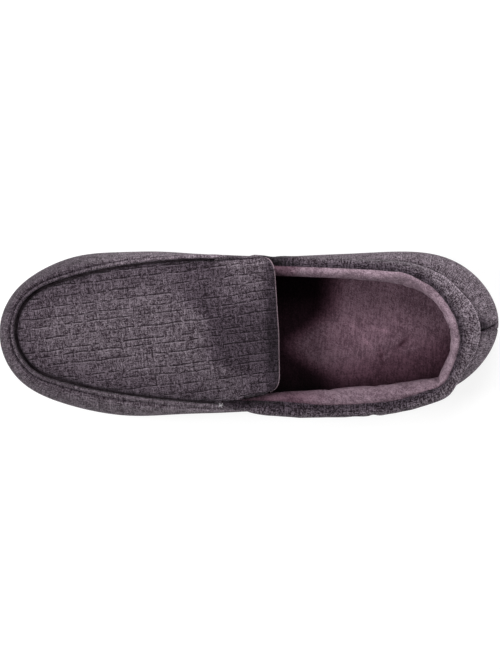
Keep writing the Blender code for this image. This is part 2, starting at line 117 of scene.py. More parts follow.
# Cloth wall: its grid, how it leaves the sole, its thickness and unevenness, and its puff at the heel.
WALL_COLUMNS = 800
WALL_LOWER_ROWS = 14
WALL_UPPER_ROWS = 30
WALL_CROWDING = 1.5
SEAM_ROWS = 28
LOWER_PULL = 0.45
WALL_CLOTH = 1.8
WALL_SINK = 0.3
WALL_WAVE = Wave(0.35, 46.0, 8)
WALL_WAVE_FROM_SOLE = Span(0.0, 8.0)
WALL_WAVE_FROM_EDGE = Span(0.0, 6.0)
THROAT_RUN = 8.0
TOE_X = Span(-70.0, -110.0)
HEEL_X = Span(40.0, 90.0)
HEEL_PUFF = 0.8
HEEL_PUFF_BELOW = Hump(4.5, 3.2)

# The crease of the wall under the cuff
CREASE_DEPTH = 1.0
CREASE_WIDTH = 0.75

# The inside of the wall's cloth: how its upper edge steps in and drops, further where the seam is.
INSIDE_LOWER_ROWS = 5
INSIDE_UPPER_ROWS = 9
INSIDE_STEP = 1.6
INSIDE_DROP = 1.5
INSIDE_SEAM_DROP = 4.0
INSIDE_ROW_HEIGHT = 4.0

# Back seam: measured round the heel from its line, or down from the wall's edge.
BACK_SEAM_SIDE = 3.3
BACK_SEAM_WIDTH = 0.77
BACK_SEAM_TILT = 0.2
BACK_SEAM_DEPTH = 2.2
BACK_WEDGE_BELOW = Span(8.0, 0.0)
BACK_HIGH = Span(0.35, 0.65)
BACK_LINE_DEPTH = 0.5
BACK_LINE_WIDTH = 0.5
BACK_LOBE = 0.9
BACK_LOBE_ROUND = Hump(4.0, 3.2)
BACK_DIP = 0.8
BACK_DIP_ROUND = Hump(-3.6, 2.6)
BACK_PUCKER = 0.3
BACK_PUCKER_PITCH = 7.0
BACK_PUCKER_SLANT = 0.25
BACK_PUCKER_WIDTH = 9.0

# The raised seam's profile from the wall's edge, inwards and up, and the plain rim behind the throat.
ProfilePoint = namedtuple("ProfilePoint", "inwards up")
SEAM_PROFILE = (
    ProfilePoint(0.0, 0.0), ProfilePoint(0.45, 0.8), ProfilePoint(1.05, 1.3), ProfilePoint(1.6, 1.05),
    ProfilePoint(1.95, 0.2), ProfilePoint(2.1, -1.4), ProfilePoint(2.2, -3.2), ProfilePoint(2.7, -4.0),
    ProfilePoint(4.4, -4.0), ProfilePoint(5.6, -3.6), ProfilePoint(5.6, -4.4), ProfilePoint(3.4, -5.2),
)
RIM_PROFILE = (
    ProfilePoint(0.0, 0.0), ProfilePoint(0.2, 0.15), ProfilePoint(0.5, 0.28), ProfilePoint(0.9, 0.3),
    ProfilePoint(1.2, 0.28), ProfilePoint(1.5, 0.2), ProfilePoint(1.7, 0.05), ProfilePoint(1.8, -0.3),
    ProfilePoint(1.8, -0.6), ProfilePoint(1.8, -0.9), ProfilePoint(1.8, -1.2), ProfilePoint(1.8, -1.5),
)
SEAM_CREASE_DEPTH = 1.2
SEAM_CREASE_TOE = 0.35
SEAM_CREASE_SIDE = 1.3
SEAM_CREASE_WIDTH = 0.45
SEAM_PUFF = 0.5
SEAM_PUFF_BELOW = Hump(2.6, 2.0)
TOE_PUCKER = 0.22
TOE_PUCKER_PITCH = 8.5
TOE_PUCKER_SWAY = Wave(1.6, 40.0, 5)
TOE_PUCKER_BELOW = Hump(4.0, 4.0)

# The groove inside the raised seam, and a dark strip on its floor that stands in for its shadow, whose
# profile counts half widths inwards.
SEAM_MIDDLE = 2.75
GROOVE_HALF_TOE = 0.9
GROOVE_HALF_THROAT = 0.15
GROOVE_TOE_X = Span(-45.0, -120.0)
SHADOW_STRIP_COLUMNS = 420
SHADOW_STRIP_UP = -3.6
SHADOW_STRIP_OVERLAP = 0.35
SHADOW_STRIP_PROFILE = (
    ProfilePoint(-1.0, 0.0), ProfilePoint(-0.5, 0.2), ProfilePoint(0.0, 0.25), ProfilePoint(0.5, 0.2),
    ProfilePoint(1.0, 0.0), ProfilePoint(1.0, -0.5), ProfilePoint(0.5, -0.6), ProfilePoint(0.0, -0.6),
    ProfilePoint(-0.5, -0.6), ProfilePoint(-1.0, -0.5),
)

# Painted light and shade of the wall: how much lighter or darker its colour is made, and where. below is down
# from its edge.
WALL_HEEL_LIGHT = 0.10
WALL_HEEL_UP = Span(0.0, 12.0)
OUTER_HEEL_LIGHT = 0.42
OUTER_HEEL_X = Span(118.0, 130.0)
OUTER_HEEL_Y = Span(2.0, -6.0)
TOE_SHADE = 0.11
INNER_TOE_SHADE = 0.20
INNER_SIDE_Y = Span(0.0, 20.0)
INNER_WALL_LIGHT = 0.30
INNER_WALL_X = Span(-95.0, -55.0)
OUTER_BALL_LIGHT = 0.17
OUTER_BALL_X = Hump(-45.0, 35.0)
THROAT_STRIP_LIGHT = 0.65
THROAT_STRIP_X = Hump(-20.0, 18.0)
THROAT_STRIP_BELOW = Hump(3.8, 2.6)
THROAT_RIM_X = Span(4.0, -8.0)
THROAT_RIM_BELOW = Hump(-1.0, 1.8)
INNER_STRIP_LIGHT = 0.70
INNER_STRIP_X = Hump(-18.0, 20.0)
INNER_STRIP_BELOW = Hump(1.0, 4.0)
CREASE_SHADE = 0.80
CREASE_SHADE_BELOW = Hump(0.4, 0.85)
SEAM_SHADE = 0.60
BACK_SHADE = 0.93
BACK_LINE_SHADE = 0.45
BACK_HOLLOW_SHADE = 0.76
BACK_HOLLOW_ROUND = Hump(5.0, 6.0)
BACK_HOLLOW_BELOW = Hump(3.0, 4.5)

# Wall lining: its grid, its gap to the cloth, and how its upper edge drops and steps in.
WALL_LINING_COLUMNS = 360
WALL_LINING_LOWER_ROWS = 6
WALL_LINING_UPPER_ROWS = 12
WALL_LINING_GAP = 0.15
WALL_LINING_DROP = 1.0
WALL_LINING_SEAM_DROP = 5.2
WALL_LINING_NEAR_STEP = 1.7
WALL_LINING_FAR_STEP = 1.2

# Apron and vamp: their grids, the crest along the spine, and the slope that the gap between them allows for.
APRON_ROWS = 130
FLAP_ROWS = 56
APRON_HALF_COLUMNS = 46
APRON_CROWDING = 1.6
VAMP_ROWS = 70
VAMP_HALF_COLUMNS = 22
VAMP_CROWDING = 1.3
VAMP_ROUND = 0.9
Crest = namedtuple("Crest", "x height")
CREST = (Crest(-104.0, 43.0), Crest(-62.0, 49.5), Crest(-20.0, 60.0), Crest(18.0, 58.5))
APRON_EDGE_UP = 0.2
APRON_CLOTH = 1.7
APRON_ROUND = 1.4
APRON_TUCK = 1.1
APRON_TUCK_WIDTH = 2.0
APRON_TUCK_RUN = Span(0.5, 0.0)
APRON_WAVE = Wave(0.22, 30.0, 21)
APRON_WAVE_IN = Span(0.0, 6.0)
DOME_SLOPE = 1.15

# Soft creases: centre, turn from the shoe's length, half length, half width, and depth.
Crease = namedtuple("Crease", "x y turn half_length half_width depth")
APRON_CREASES = (
    Crease(-22.0, 8.0, 88.0, 24.0, 4.5, 0.55),
    Crease(-33.0, -21.0, -64.0, 14.0, 1.6, 0.35),
    Crease(-45.0, -28.0, -50.0, 6.0, 1.2, 0.30),
    Crease(-9.0, -18.0, -70.0, 12.0, 2.4, 0.35),
    Crease(-70.0, 20.0, 20.0, 18.0, 5.0, 0.25),
)
APRON_CREASE_IN = Span(0.0, 5.0)

# Tongue flap: the end of the apron that lies free over the cuff, and its lining, which shows as piping.
FLAP_END = 16.4
FlapCorner = namedtuple("FlapCorner", "end side")
INNER_CORNER = FlapCorner(13.6, 44.9)
OUTER_CORNER = FlapCorner(16.9, -29.5)
FLAP_CORNER_LONG = 5.0
FLAP_CORNER_WIDE = 9.0
FLAP_EDGE_UP = 57.6
FLAP_LIP = 3.6
FLAP_LIP_FROM = 0.55
FLAP_LIP_SIDE = 0.7
FLAP_LINING = 0.9
FLAP_LINING_GAP = 0.05
FLAP_LINING_ROUND = 0.6
FLAP_PIPING = 0.45
FLAP_PIPING_RUN = Span(0.7, 1.0)
FLAP_PIPING_CORNER = 0.4
FLAP_PIPING_CORNER_WIDE = 6.0
FLAP_PIPING_DROP = 0.25

# Painted light and shade of the apron and its flap
APRON_LIGHT = 1.01
APRON_RIM_SHADE = 0.35
APRON_RIM_WIDTH = 14.0
APRON_EDGE_SHADE = 0.55
APRON_EDGE_WIDTH = 0.9
# How light the flap's painted shade leaves it, before painted light is added on its inner and outer sides.
FLAP_SHADE_LEVEL = 0.44
FLAP_SHADE_FROM = -29.0
FLAP_SHADE_RUN = 13.0
FLAP_SHADE_SLANT = 16.0
FLAP_SHADE_SLANT_Y = Span(8.0, 28.0)
FLAP_SHADE_LATE = 17.0
FLAP_SHADE_LATE_Y = Span(-10.0, -22.0)
FLAP_INNER_LIGHT = 0.42
FLAP_INNER_Y = Span(8.0, 33.0)
FLAP_OUTER_LIGHT = 0.18
FLAP_OUTER_Y = Span(-10.0, -25.0)
FLAP_FOLD_SHADE = 0.25
FLAP_FOLD = Spot(-29.0, 25.0, 11.0)
FLAP_END_SHADE = 0.55
FLAP_END_X = Span(7.0, 12.0)
FLAP_LINE_SHADE = 0.85
FLAP_LINE_WIDTH = 0.6
FLAP_LINE_X = Hump(-8.0, 18.0)
FLAP_RIM_LIGHT = 0.55
FLAP_RIM_IN = Hump(1.8, 2.6)
FLAP_RIM_X = Span(-24.0, -14.0)

# Cuff: its profile as shares of padding (inwards) and rise (upwards), closed under the roll.
CUFF_START = -11.6
CUFF_TIP = -14.8
CUFF_NOSE = 9.0
CUFF_RUN = 28.0
CUFF_LOW = 0.12
CUFF_SLIM = 5.6
CUFF_ROLL = (
    ProfilePoint(0.03, 0.00), ProfilePoint(0.01, 0.26), ProfilePoint(0.02, 0.54), ProfilePoint(0.12, 0.82),
    ProfilePoint(0.32, 0.98), ProfilePoint(0.54, 1.00), ProfilePoint(0.76, 0.89), ProfilePoint(0.91, 0.64),
    ProfilePoint(0.95, 0.34), ProfilePoint(0.88, 0.06), ProfilePoint(0.70, -0.16), ProfilePoint(0.36, -0.04),
    ProfilePoint(0.03, 0.00),
)
CUFF_ROLL_END = len(CUFF_ROLL) - 1
CUFF_HEART = ProfilePoint(0.6, 0.4)
CUFF_HALFWAY = 0.5
CUFF_FULL_FROM_TIP = 26.0
CUFF_HEEL_X = Span(85.0, 115.0)
CUFF_WAVES = (Wave(0.22, 24.0, 31), Wave(0.10, 9.0, 32))
ROLL_COLUMNS = 230
ROLL_OUTSIDE = 15
ROLL_INSIDE = 15

# The cuff's tuck at the outer heel corner, and its bulges. Their spans are shares of padding and rise.
HEEL_CORNER = Spot(109.4, -32.3, 9.0)
CORNER_TUCK = 3.2
CORNER_TUCK_IN = Span(0.4, 0.8)
CuffBulge = namedtuple("CuffBulge", "spot size")
CUFF_BULGES = (
    CuffBulge(HEEL_CORNER, 2.3),
    CuffBulge(Spot(22.0, -43.5, 27.0), 1.8),
    CuffBulge(Spot(26.0, 44.5, 24.0), 0.6),
)
BULGE_OUT = Span(0.5, 0.1)
BULGE_UP = Span(0.0, 0.3)

# The seam between cuff and lining, counted in points of CUFF_ROLL, and the hem round the heel.
SEAM_ROW_INNER = 3.9
SEAM_ROW_OUTER = 4.3
SEAM_ROW_HEEL = 5.9
SEAM_ROW_THROAT = 2.4
SEAM_HEEL_X = Span(70.0, 130.0)
SEAM_THROAT_X = Span(46.0, -4.0)
SEAM_DIP = 1.3
SEAM_DIP_ROWS = 0.9
HEM_FROM_FOOT = 13.5
HEM_DEPTH = 0.7
HEM_WIDTH = 0.7

# The padded roll's cloth simulation: the copy's size, its held rows, and the air inside.
PUFF_SCALE = 0.02
PUFF_ENDS = 6
PUFF_FOOT_ROWS = 6
PUFF_SLACK = -0.10
PUFF_PRESSURE = 4.0
PUFF_FRAMES = 16
PUFF_EVENING = 3
PUFF_CAP = 1.2

# Painted light and shade of the cuff. Measures named _AT run round the roll from its seam, and are negative
# on its outside.
CUFF_SEAM_SHADE = 0.40
CUFF_SEAM_AT = Hump(-1.2, 4.2)
# A narrow painted shadow line along the cuff's seam.
CUFF_SEAM_SHADOW_LINE = 0.40
CUFF_SEAM_SHADOW_AT = Hump(-0.6, 1.4)
CUFF_INNER_SHADE = 0.80
CUFF_INNER_X = Span(34.0, 14.0)
CUFF_INNER_LIGHT = 0.60
CUFF_INNER_TIP_X = Span(11.0, 3.0)
CUFF_THROAT_SHADE = 0.72
CUFF_THROAT_X = Span(38.0, 8.0)
CUFF_THROAT_LEAST = 0.3
CUFF_THROAT_MOST_X = Span(-12.0, 0.0)
CUFF_THROAT_AT = Hump(-2.5, 4.2)
CUFF_HEEL_LIGHT = 0.52
CUFF_HEEL_AT = Span(0.0, -6.0)
HEM_LIGHT = 0.45
HEM_LIGHT_UNDER = Span(HEM_FROM_FOOT, HEM_FROM_FOOT - 1.0)
HEM_SHADE = 0.50
HEM_SHADE_WIDTH = 0.6

# Collar lining: over the roll to point LINING_LEAVES of CUFF_ROLL, then across to the wall and down it.
LINING_ROWS = 60
LINING_CLOTH = 1.3
LINING_ROUND = 1.0
LINING_ROLL_ROWS = 9
LINING_LEAVES = 9.6
LINING_BRIDGE = (0.15, 0.35, 0.6, 0.8)
CUFF_TAIL_SHARES = (0.6, 0.4, 0.2)
CUFF_TAIL = 1.6
CUFF_TAIL_GAP = 0.6
TAIL_SIDE = WALL + CUFF_TAIL_GAP + CUFF_TAIL
LINING_WAVES = (Wave(0.14, 20.0, 41), Wave(0.10, 8.0, 42))
LINING_PUFF = 0.5
LINING_PUFF_AT = Hump(3.0, 2.0)
LINING_DIP = 0.3
LINING_DIP_WIDTH = 1.0
LiningFold = namedtuple("LiningFold", "spot run half_run depth")
LINING_FOLDS = (
    LiningFold(Spot(139.1, 13.5, 1.6), 8.0, 5.0, 0.9),
    LiningFold(Spot(109.4, -32.3, 1.8), 8.0, 6.0, 0.8),
    LiningFold(Spot(66.0, -41.8, 2.5), 2.0, 3.0, 0.5),
    LiningFold(Spot(121.0, -22.0, 2.2), 6.0, 5.0, 0.5),
)

# The roll sinks under the lining, towards its own middle, and deeper on its underside.
LINED_FROM = Span(0.0, 2.0)
LINED_TO = Span(11.4, 10.6)
LINED_SINK = 1.56
LINED_SINK_BELOW = 1.6
LINED_BELOW = Span(8.6, 9.6)
SINK_MOST = 0.5

# Painted light and shade of the collar lining. run is measured from the cuff's seam.
LINING_INNER_LIGHT = 0.32
LINING_INNER_Y = Span(5.0, 25.0)
LINING_OUTER_SHADE = 0.08
LINING_OUTER_Y = Span(-5.0, -25.0)
LINING_HEEL_LIGHT = 0.16
LINING_HEEL_X = Span(105.0, 125.0)
LINING_FLAP_SHADE = 0.66
LINING_FLAP_X = Span(36.0, 19.0)
LINING_THROAT_SHADE = 0.46
LINING_THROAT_X = Span(50.0, 22.0)
LINING_SEAM_SHADE = 0.25
LINING_SEAM_WIDTH = 1.1
LINING_DEEP_SHADE = 0.30
LINING_DEEP_RUN = Span(10.0, 18.0)

# Bar tack at the outer throat: short threads, each turned from the shoe's length and set off along it.
TACK_X = -15.7
TACK_IN = 1.7
TACK_UP = 1.5
TACK_THREAD_HALF = 0.14
TACK_BOW = 0.5
TACK_STEPS = 24
TACK_STACK = 0.1
THREAD_SIDES = 8
THREAD_POINT_STEPS = 2.0
THREAD_ASIDE = (0.31, 0.22, 0.92)
TackThread = namedtuple("TackThread", "turn half_length off")
TACK_THREADS = (
    TackThread(48.0, 1.4, 0.2), TackThread(-52.0, 1.5, -0.1),
    TackThread(70.0, 1.1, -0.7), TackThread(5.0, 1.0, 0.5),
)

# The wall's puckers round the bar tack
TACK_PUCKER = 0.4
TACK_PUCKER_PITCH = 5.0
TACK_PUCKER_X = CUFF_TIP + 6.0
TACK_PUCKER_BELOW = 3.0
TACK_PUCKER_FLAT = 1.2
TACK_PUCKER_REACH = 7.0

# Outsole: toe spring, arch and heel bevel of its underside, the steps of its side, and its tread.
SOLE_COLUMNS = 1400
SOLE_SIDE_ROWS = 30
SOLE_UNDER_ROWS = 17
SOLE_TOP_ROWS = 5
TOE_SPRING = 9.0
SPRING_FROM = 0.24
TOE_THICK = 6.8
ARCH_RISE = 2.0
ARCH_FROM, ARCH_TO = 0.40, 0.62
HEEL_BEVEL = 1.2
BEVEL_FROM = 0.95
SoleStep = namedtuple("SoleStep", "outwards up")
SOLE_SIDE = (
    SoleStep(0.55, 1.00), SoleStep(1.15, 0.97), SoleStep(1.3, 0.90), SoleStep(1.3, 0.64),
    SoleStep(1.05, 0.60), SoleStep(0.4, 0.57), SoleStep(0.4, 0.53), SoleStep(0.95, 0.49),
    SoleStep(1.1, 0.45), SoleStep(0.9, 0.24), SoleStep(0.45, 0.07), SoleStep(-0.4, 0.00),
)
SIDE_RIB_PITCH = 2.6
SIDE_RIB = 0.28
SIDE_RIB_UPPER = Hump(0.77, 0.10)
SIDE_RIB_LOWER = Hump(0.34, 0.09)
Tread = namedtuple("Tread", "first last count")
TREADS = (Tread(-84.0, -34.0, 6), Tread(42.0, 82.0, 5))
TREAD_WIDTH = 3.0
TREAD_DEPTH = 1.4
TREAD_DRAFT = 0.6
TREAD_EDGE_UP = Span(0.10, 0.0)
SIPE_PITCH = 5.0
SIPE_DEPTH = 0.45
SIPE_WIDTH = 0.55
SIPE_WAVE = 1.1
SIPE_WAVELENGTH = 9.0
SIPE_TOE_X = Span(-94.0, -86.0)
SIPE_HEEL_X = Span(88.0, 80.0)

# Insole: its grid, its rim, which follows the wall inside, its crown, and the hollow under the heel.
SOCK_STATIONS = 300
SOCK_HALF_COLUMNS = 46
SOCK_CROWDING = 1.3
SOCK_ROUND = 2.2
INSOLE_GAP = 0.75
INSOLE_LIFT = 0.55
INSOLE_RIM_SHARE = 0.42
INSOLE_CROWN = 0.8
INSOLE_CROWN_WIDTH = 9.0
SOCK_HOLLOW = 0.35
SOCK_HOLLOW_SPOT = Spot(92.0, 3.0, 22.0)
SOCK_HOLLOW_LONG = 1.3
SOCK_WAVE = Wave(0.18, 26.0, 51)
SOCK_WAVE_IN = Span(0.0, 6.0)

# Soft wrinkles of the sock near the heel, as for the apron. A negative depth makes a ridge.
SOCK_CREASES = (
    Crease(75.7, 1.6, -14.0, 5.0, 0.9, -0.45), Crease(66.8, -5.7, -51.0, 3.8, 1.0, -0.40),
    Crease(86.4, -5.7, 45.0, 4.6, 1.0, 0.45), Crease(76.3, -14.7, 45.0, 3.0, 0.9, -0.30),
    Crease(83.3, 6.3, -45.0, 2.6, 0.9, -0.40), Crease(74.6, -13.6, -78.0, 5.5, 1.0, 0.35),
    Crease(92.0, -9.0, 20.0, 5.0, 1.2, -0.25), Crease(58.0, 4.0, -30.0, 5.0, 1.2, -0.20),
)

# Painted light and shade of the sock: shade at its rim and toe, the flap's shadow, shade on its outer side,
# and light in its middle.
SOCK_RIM_SHADE = 0.35
SOCK_RIM_WIDTH = 7.0
SOCK_RIM_LEAST = 0.3
SOCK_RIM_Y = Span(10.0, -5.0)
SOCK_TOE_SHADE = 0.35
SOCK_TOE_X = Span(30.0, -10.0)
SOCK_FLAP_SHADE = 0.90
SOCK_FLAP_LINE = 24.7
SOCK_FLAP_BOW = 24.0
SOCK_FLAP_BOW_Y = Hump(-7.3, 14.0)
SOCK_FLAP_RUN = Span(10.0, -10.0)
SOCK_OUTER_SHADE = 0.55
SOCK_OUTER_WIDTH = 12.0
SOCK_OUTER_Y = Span(0.0, -10.0)
SOCK_SIDE_SHADE = 0.50
SOCK_SIDE_WAY = (0.198, -0.66)
SOCK_SIDE_RUN = Span(15.3, 31.3)
# A painted pool of light in the sock's middle.
SOCK_LIGHT = 0.22
SOCK_LIGHT_X = Hump(57.0, 30.0)
SOCK_LIGHT_Y = Hump(-3.5, 10.0)
# Painted light on the wrinkles' ridges and painted shade in their troughs, per millimetre of relief.
SOCK_CREASE_SHADING = 1.5

# Heather cloth: tones as linear red, green and blue of its dark yarn, light yarn, slub and glint, and dark
# broken lines.
HEATHER_TONES = (
    (0.024, 0.015, 0.021), (0.205, 0.169, 0.197), (0.300, 0.255, 0.290), (0.012, 0.006, 0.010),
)
# The tint of the cloth where painted shade darkens it.
HEATHER_SHADOW = (1.0, 0.86, 1.03)
YARN_MEAN = 0.47
YARN_ALONG = Grain((3.2, 0.64, 9.0), 1.0, 0.36, 0.66)
YARN_ACROSS = Grain((0.66, 3.4, 9.0), 1.0, 0.36, 0.66)
YARN_SPECKLE = Grain((0.58, 0.58, 0.58), 0.0, 0.30, 0.74)
YARN_PATCH = Grain((5.5, 6.5, 9.0), 2.0, 0.30, 0.70)
ALONG_WEIGHT = 0.27
ACROSS_WEIGHT = 0.29
SPECKLE_WEIGHT = 0.42
PATCH_WEIGHT = 0.18
YARN_DARKER = -0.11
SWAY_SIZE = (22.0, 22.0, 22.0)
SWAY = 3.6
LONG_LINES = Dash(5.5, 0.42, 4.0, 0.56, 3.0)
FAINT_LINES = Dash(2.6, 0.46, 4.0, 0.40, 11.0)
CROSS_TICKS = Dash(4.4, 0.42, 3.0, 0.44, 23.0)
SLUBS = Dash(2.3, 0.44, 3.0, 0.38, 37.0)
LINE_WEIGHT = 0.84
FAINT_WEIGHT = 0.48
TICK_WEIGHT = 0.60
SLUB_WEIGHT = 0.50
# Glints: painted highlights beside the long dark lines, GLINT_OFF millimetres from them.
GLINT_WEIGHT = 0.29
GLINT_OFF = 0.75
DARK_MOST = 0.92
RIB_PITCH = 1.05
RIB_RELIEF = 0.10
DARK_RELIEF = -0.8
HEATHER_RELIEF = 0.45
HEATHER_RELIEF_STRENGTH = 0.9

# Broken lines: the thread's full middle, how far it strays in its row, and how sharply it is cut.
DASH_CORE = 0.35
DASH_STRAY = 0.5
DASH_ROW_STEP = 3.71
DASH_CUT = 0.04

# Velour: grains of its nap, and the pale marks where something has brushed it.
# The tint of the velour where painted shade darkens it, redder in the dark.
VELOUR_SHADOW = (1.0, 0.62, 0.78)
VELOUR_TURN = 24.0
VELOUR_CLOUD = Grain((13.0, 10.0, 12.0), 3.0, 0.30, 0.70)
VELOUR_NAP = Grain((1.0, 0.8, 0.8), 1.0, 0.28, 0.72)
VELOUR_PILE = Grain((0.6, 0.5, 0.5), 0.0, 0.30, 0.70)
VELOUR_TUFTS = Grain((2.6, 1.8, 2.0), 1.0, 0.30, 0.70)
VELOUR_STREAKS = Grain((0.75, 6.0, 4.0), 1.0, 0.32, 0.68)
STREAK_TURN = 6.0
BRUSH_MARKS = Dash(7.5, 0.60, 5.0, 0.32, 5.0)
BRUSH_SWAY_SIZE = (9.0, 9.0, 9.0)
BRUSH_SWAY = 9.0
CLOUD_WEIGHT = 0.42
TUFT_WEIGHT = 0.36
MARK_WEIGHT = 0.60
HAIR_LIGHT = 0.06
NAP_RELIEF = 0.8
VELOUR_RELIEF = 0.3
VELOUR_RELIEF_STRENGTH = 0.7

# Grain sizes of the sole's rubber and of the bar tack's thread
RUBBER_STIPPLE = (0.7, 0.7, 0.7)
RUBBER_DUST = Grain((16.0, 16.0, 8.0), 4.0, 0.4, 0.75)
THREAD_FIBRE = (0.35, 0.35, 0.35)

# Where columns stand round the shoe, and where points lie on the wall
Ring = namedtuple("Ring", "place inward spine foot rise edge_in edge_up shoulder cuff")
WallPlace = namedtuple(
    "WallPlace", "x y arc run below from_back front toe heel high off_seam wedge crease_at",
)


def smooth_step(share):
    """0 to 1 with a level start and end."""
    share = np.clip(share, 0.0, 1.0)
    return share * share * (3.0 - 2.0 * share)


def fade(value, span):
    """0 up to the span's start and 1 from its end on, with a level start and end."""
    return smooth_step((value - span.start) / (span.end - span.start))


def bezier(start, pull, end, share):
    """Quadratic curve from start to end that leans towards pull."""
    return (1 - share) ** 2 * start + 2 * share * (1 - share) * pull + share**2 * end


def bell(distance, width):
    """A soft hump: 1 at no distance, falling away as a bell curve of that width."""
    return np.exp(-((distance / width) ** 2))


def hump(value, place):
    """A bell about the middle of that place, with its width."""
    return bell(value - place.middle, place.width)


def near(x, y, spot):
    """A bell of the distance to a spot, with its reach as the width."""
    return bell(np.hypot(x - spot.x, y - spot.y), spot.reach)


def ripple(first, second, *waves):
    """Soft unevenness across two measures: seeded sine waves of each wave's size and height, added up."""
    total = 0.0
    for wave in waves:
        draw = np.random.default_rng(wave.seed)
        swings = 0.0
        for _ in range(RIPPLE_SWINGS):
            way = draw.uniform(0, 2 * np.pi)
            pitch = wave.size * draw.uniform(*RIPPLE_PITCHES)
            swing = first * np.cos(way) + second * np.sin(way)
            swings = swings + np.sin(2 * np.pi * swing / pitch + draw.uniform(0, 2 * np.pi))
        total = total + wave.height * swings / RIPPLE_SOFTER
    return total


def closed_spline(knots, rows, turn):
    """Smooth closed cubic through rows at knots, read at turn. The last knot is one full turn."""
    gap = np.diff(knots)
    count = len(gap)
    step = (np.roll(rows, -1, axis=0) - rows) / gap[:, None]
    system = np.zeros((count, count))
    for i in range(count):
        system[i, i - 1] += gap[i - 1]
        system[i, i] += 2 * (gap[i - 1] + gap[i])
        system[i, (i + 1) % count] += gap[i]
    bend = np.linalg.solve(system, 6 * (step - np.roll(step, 1, axis=0)))
    turn = np.mod(turn, knots[-1])
    left = np.clip(np.searchsorted(knots, turn, side="right") - 1, 0, count - 1)
    right = (left + 1) % count
    width = gap[left][:, None]
    ahead = (turn - knots[left])[:, None] / width
    behind = 1 - ahead
    curve = (behind**3 - behind) * bend[left] + (ahead**3 - ahead) * bend[right]
    return behind * rows[left] + ahead * rows[right] + curve * width**2 / 6


def smooth_line(points, place):
    """Catmull-Rom curve through points[number, column], read at place[row, column], counted in points."""
    before = 2 * points[:1] - points[1:2]
    after = 2 * points[-1:] - points[-2:-1]
    points = np.concatenate([before, points, after])
    left = np.clip(place.astype(int), 0, len(points) - 4)
    share = (place - left)[..., None]
    column = np.arange(points.shape[1]) if points.shape[1] > 1 else 0
    a, b, c, d = (points[left + step, column] for step in range(4))
    cubic = (3 * b - a - 3 * c + d) * share**3
    return 0.5 * (2 * b + (c - a) * share + (2 * a - 5 * b + 4 * c - d) * share**2 + cubic)


def section_rows():
    """The section table as numbers: x, y, then its other columns."""
    return np.array([
        [(s.along - 0.5) * LENGTH, s.side * BALL_WIDTH / 2, *s[3:]] for s in SECTIONS
    ])


ROWS = section_rows()
CHORDS = np.linalg.norm(np.diff(ROWS[:, :2], axis=0, append=ROWS[:1, :2]), axis=1)
KNOTS = np.concatenate([[0.0], np.cumsum(CHORDS)])
FULL_TURN = KNOTS[-1]


def spine_x(x):
    """x held softly between the two ends of the spine."""
    past_toe = np.logaddexp(0, (SPINE_TOE - x) / SPINE_SOFTNESS) * SPINE_SOFTNESS
    past_heel = np.logaddexp(0, (x - SPINE_HEEL) / SPINE_SOFTNESS) * SPINE_SOFTNESS
    return x + past_toe - past_heel


def turn_at(x, inner_side):
    """Where round the shoe its widest line passes x, on the big toe's side or the other."""
    turn = np.linspace(0.0, FULL_TURN, TURN_SAMPLES)
    line = closed_spline(KNOTS, ROWS, turn)[:, 0]
    tip = int(np.argmin(line))
    if inner_side:
        return np.interp(x, np.maximum.accumulate(line[tip::-1]), turn[tip::-1])
    return np.interp(x, np.maximum.accumulate(line[tip:]), turn[tip:])


def ring_of(turn):
    """The section columns at each turn round the shoe, and the way from each place to the spine."""
    values = closed_spline(KNOTS, ROWS, turn)
    place = values[:, :2]
    spine = np.stack([spine_x(place[:, 0]), np.full(len(place), SPINE_SIDE)], axis=1)
    inward = spine - place
    inward = inward / np.linalg.norm(inward, axis=1, keepdims=True)
    return Ring(place, inward, spine, *values[:, 2:].T)


def placed(ring, depth, height):
    """Points that lie depth inside the widest line, at height, for each row and column."""
    depth, height = np.broadcast_arrays(depth, height)
    level = ring.place + ring.inward * depth[..., None]
    return np.concatenate([level, height[..., None]], axis=-1)


def sole_under(x):
    """Height of the outsole's underside: toe spring, arch and heel bevel."""
    along = x / LENGTH + 0.5
    spring = np.clip((SPRING_FROM - along) / SPRING_FROM, 0, None) ** 2 * TOE_SPRING
    arch = np.sin(np.pi * np.clip((along - ARCH_FROM) / (ARCH_TO - ARCH_FROM), 0, 1)) ** 2 * ARCH_RISE
    bevel = np.clip((along - BEVEL_FROM) / (1 - BEVEL_FROM), 0, None) ** 2 * HEEL_BEVEL
    return spring + arch + bevel


def sole_top(x):
    """Height of the outsole's upper face: its underside and its thickness."""
    along = x / LENGTH + 0.5
    heel = smooth_step((along - ARCH_FROM) / (ARCH_TO - ARCH_FROM)) * (HEEL_THICK - FOREFOOT_THICK)
    toe = np.clip((SPRING_FROM - along) / SPRING_FROM, 0, 1) * (FOREFOOT_THICK - TOE_THICK)
    return sole_under(x) + FOREFOOT_THICK + heel - toe


def seat_height(ring, depth):
    """Height at that depth of what sits on the outsole."""
    return sole_top(ring.place[:, 0] + ring.inward[:, 0] * depth) + SEAT_GAP


def front_share(ring):
    """1 in front of the throat, falling to 0 just behind it."""
    return smooth_step(1 - (ring.place[:, 0] - THROAT) / THROAT_RUN)


def groove_half(ring):
    """Half the width of the groove inside the raised seam: wide round the toe, narrow at the throat."""
    toe = fade(ring.place[:, 0], GROOVE_TOE_X)
    return GROOVE_HALF_THROAT + (GROOVE_HALF_TOE - GROOVE_HALF_THROAT) * toe


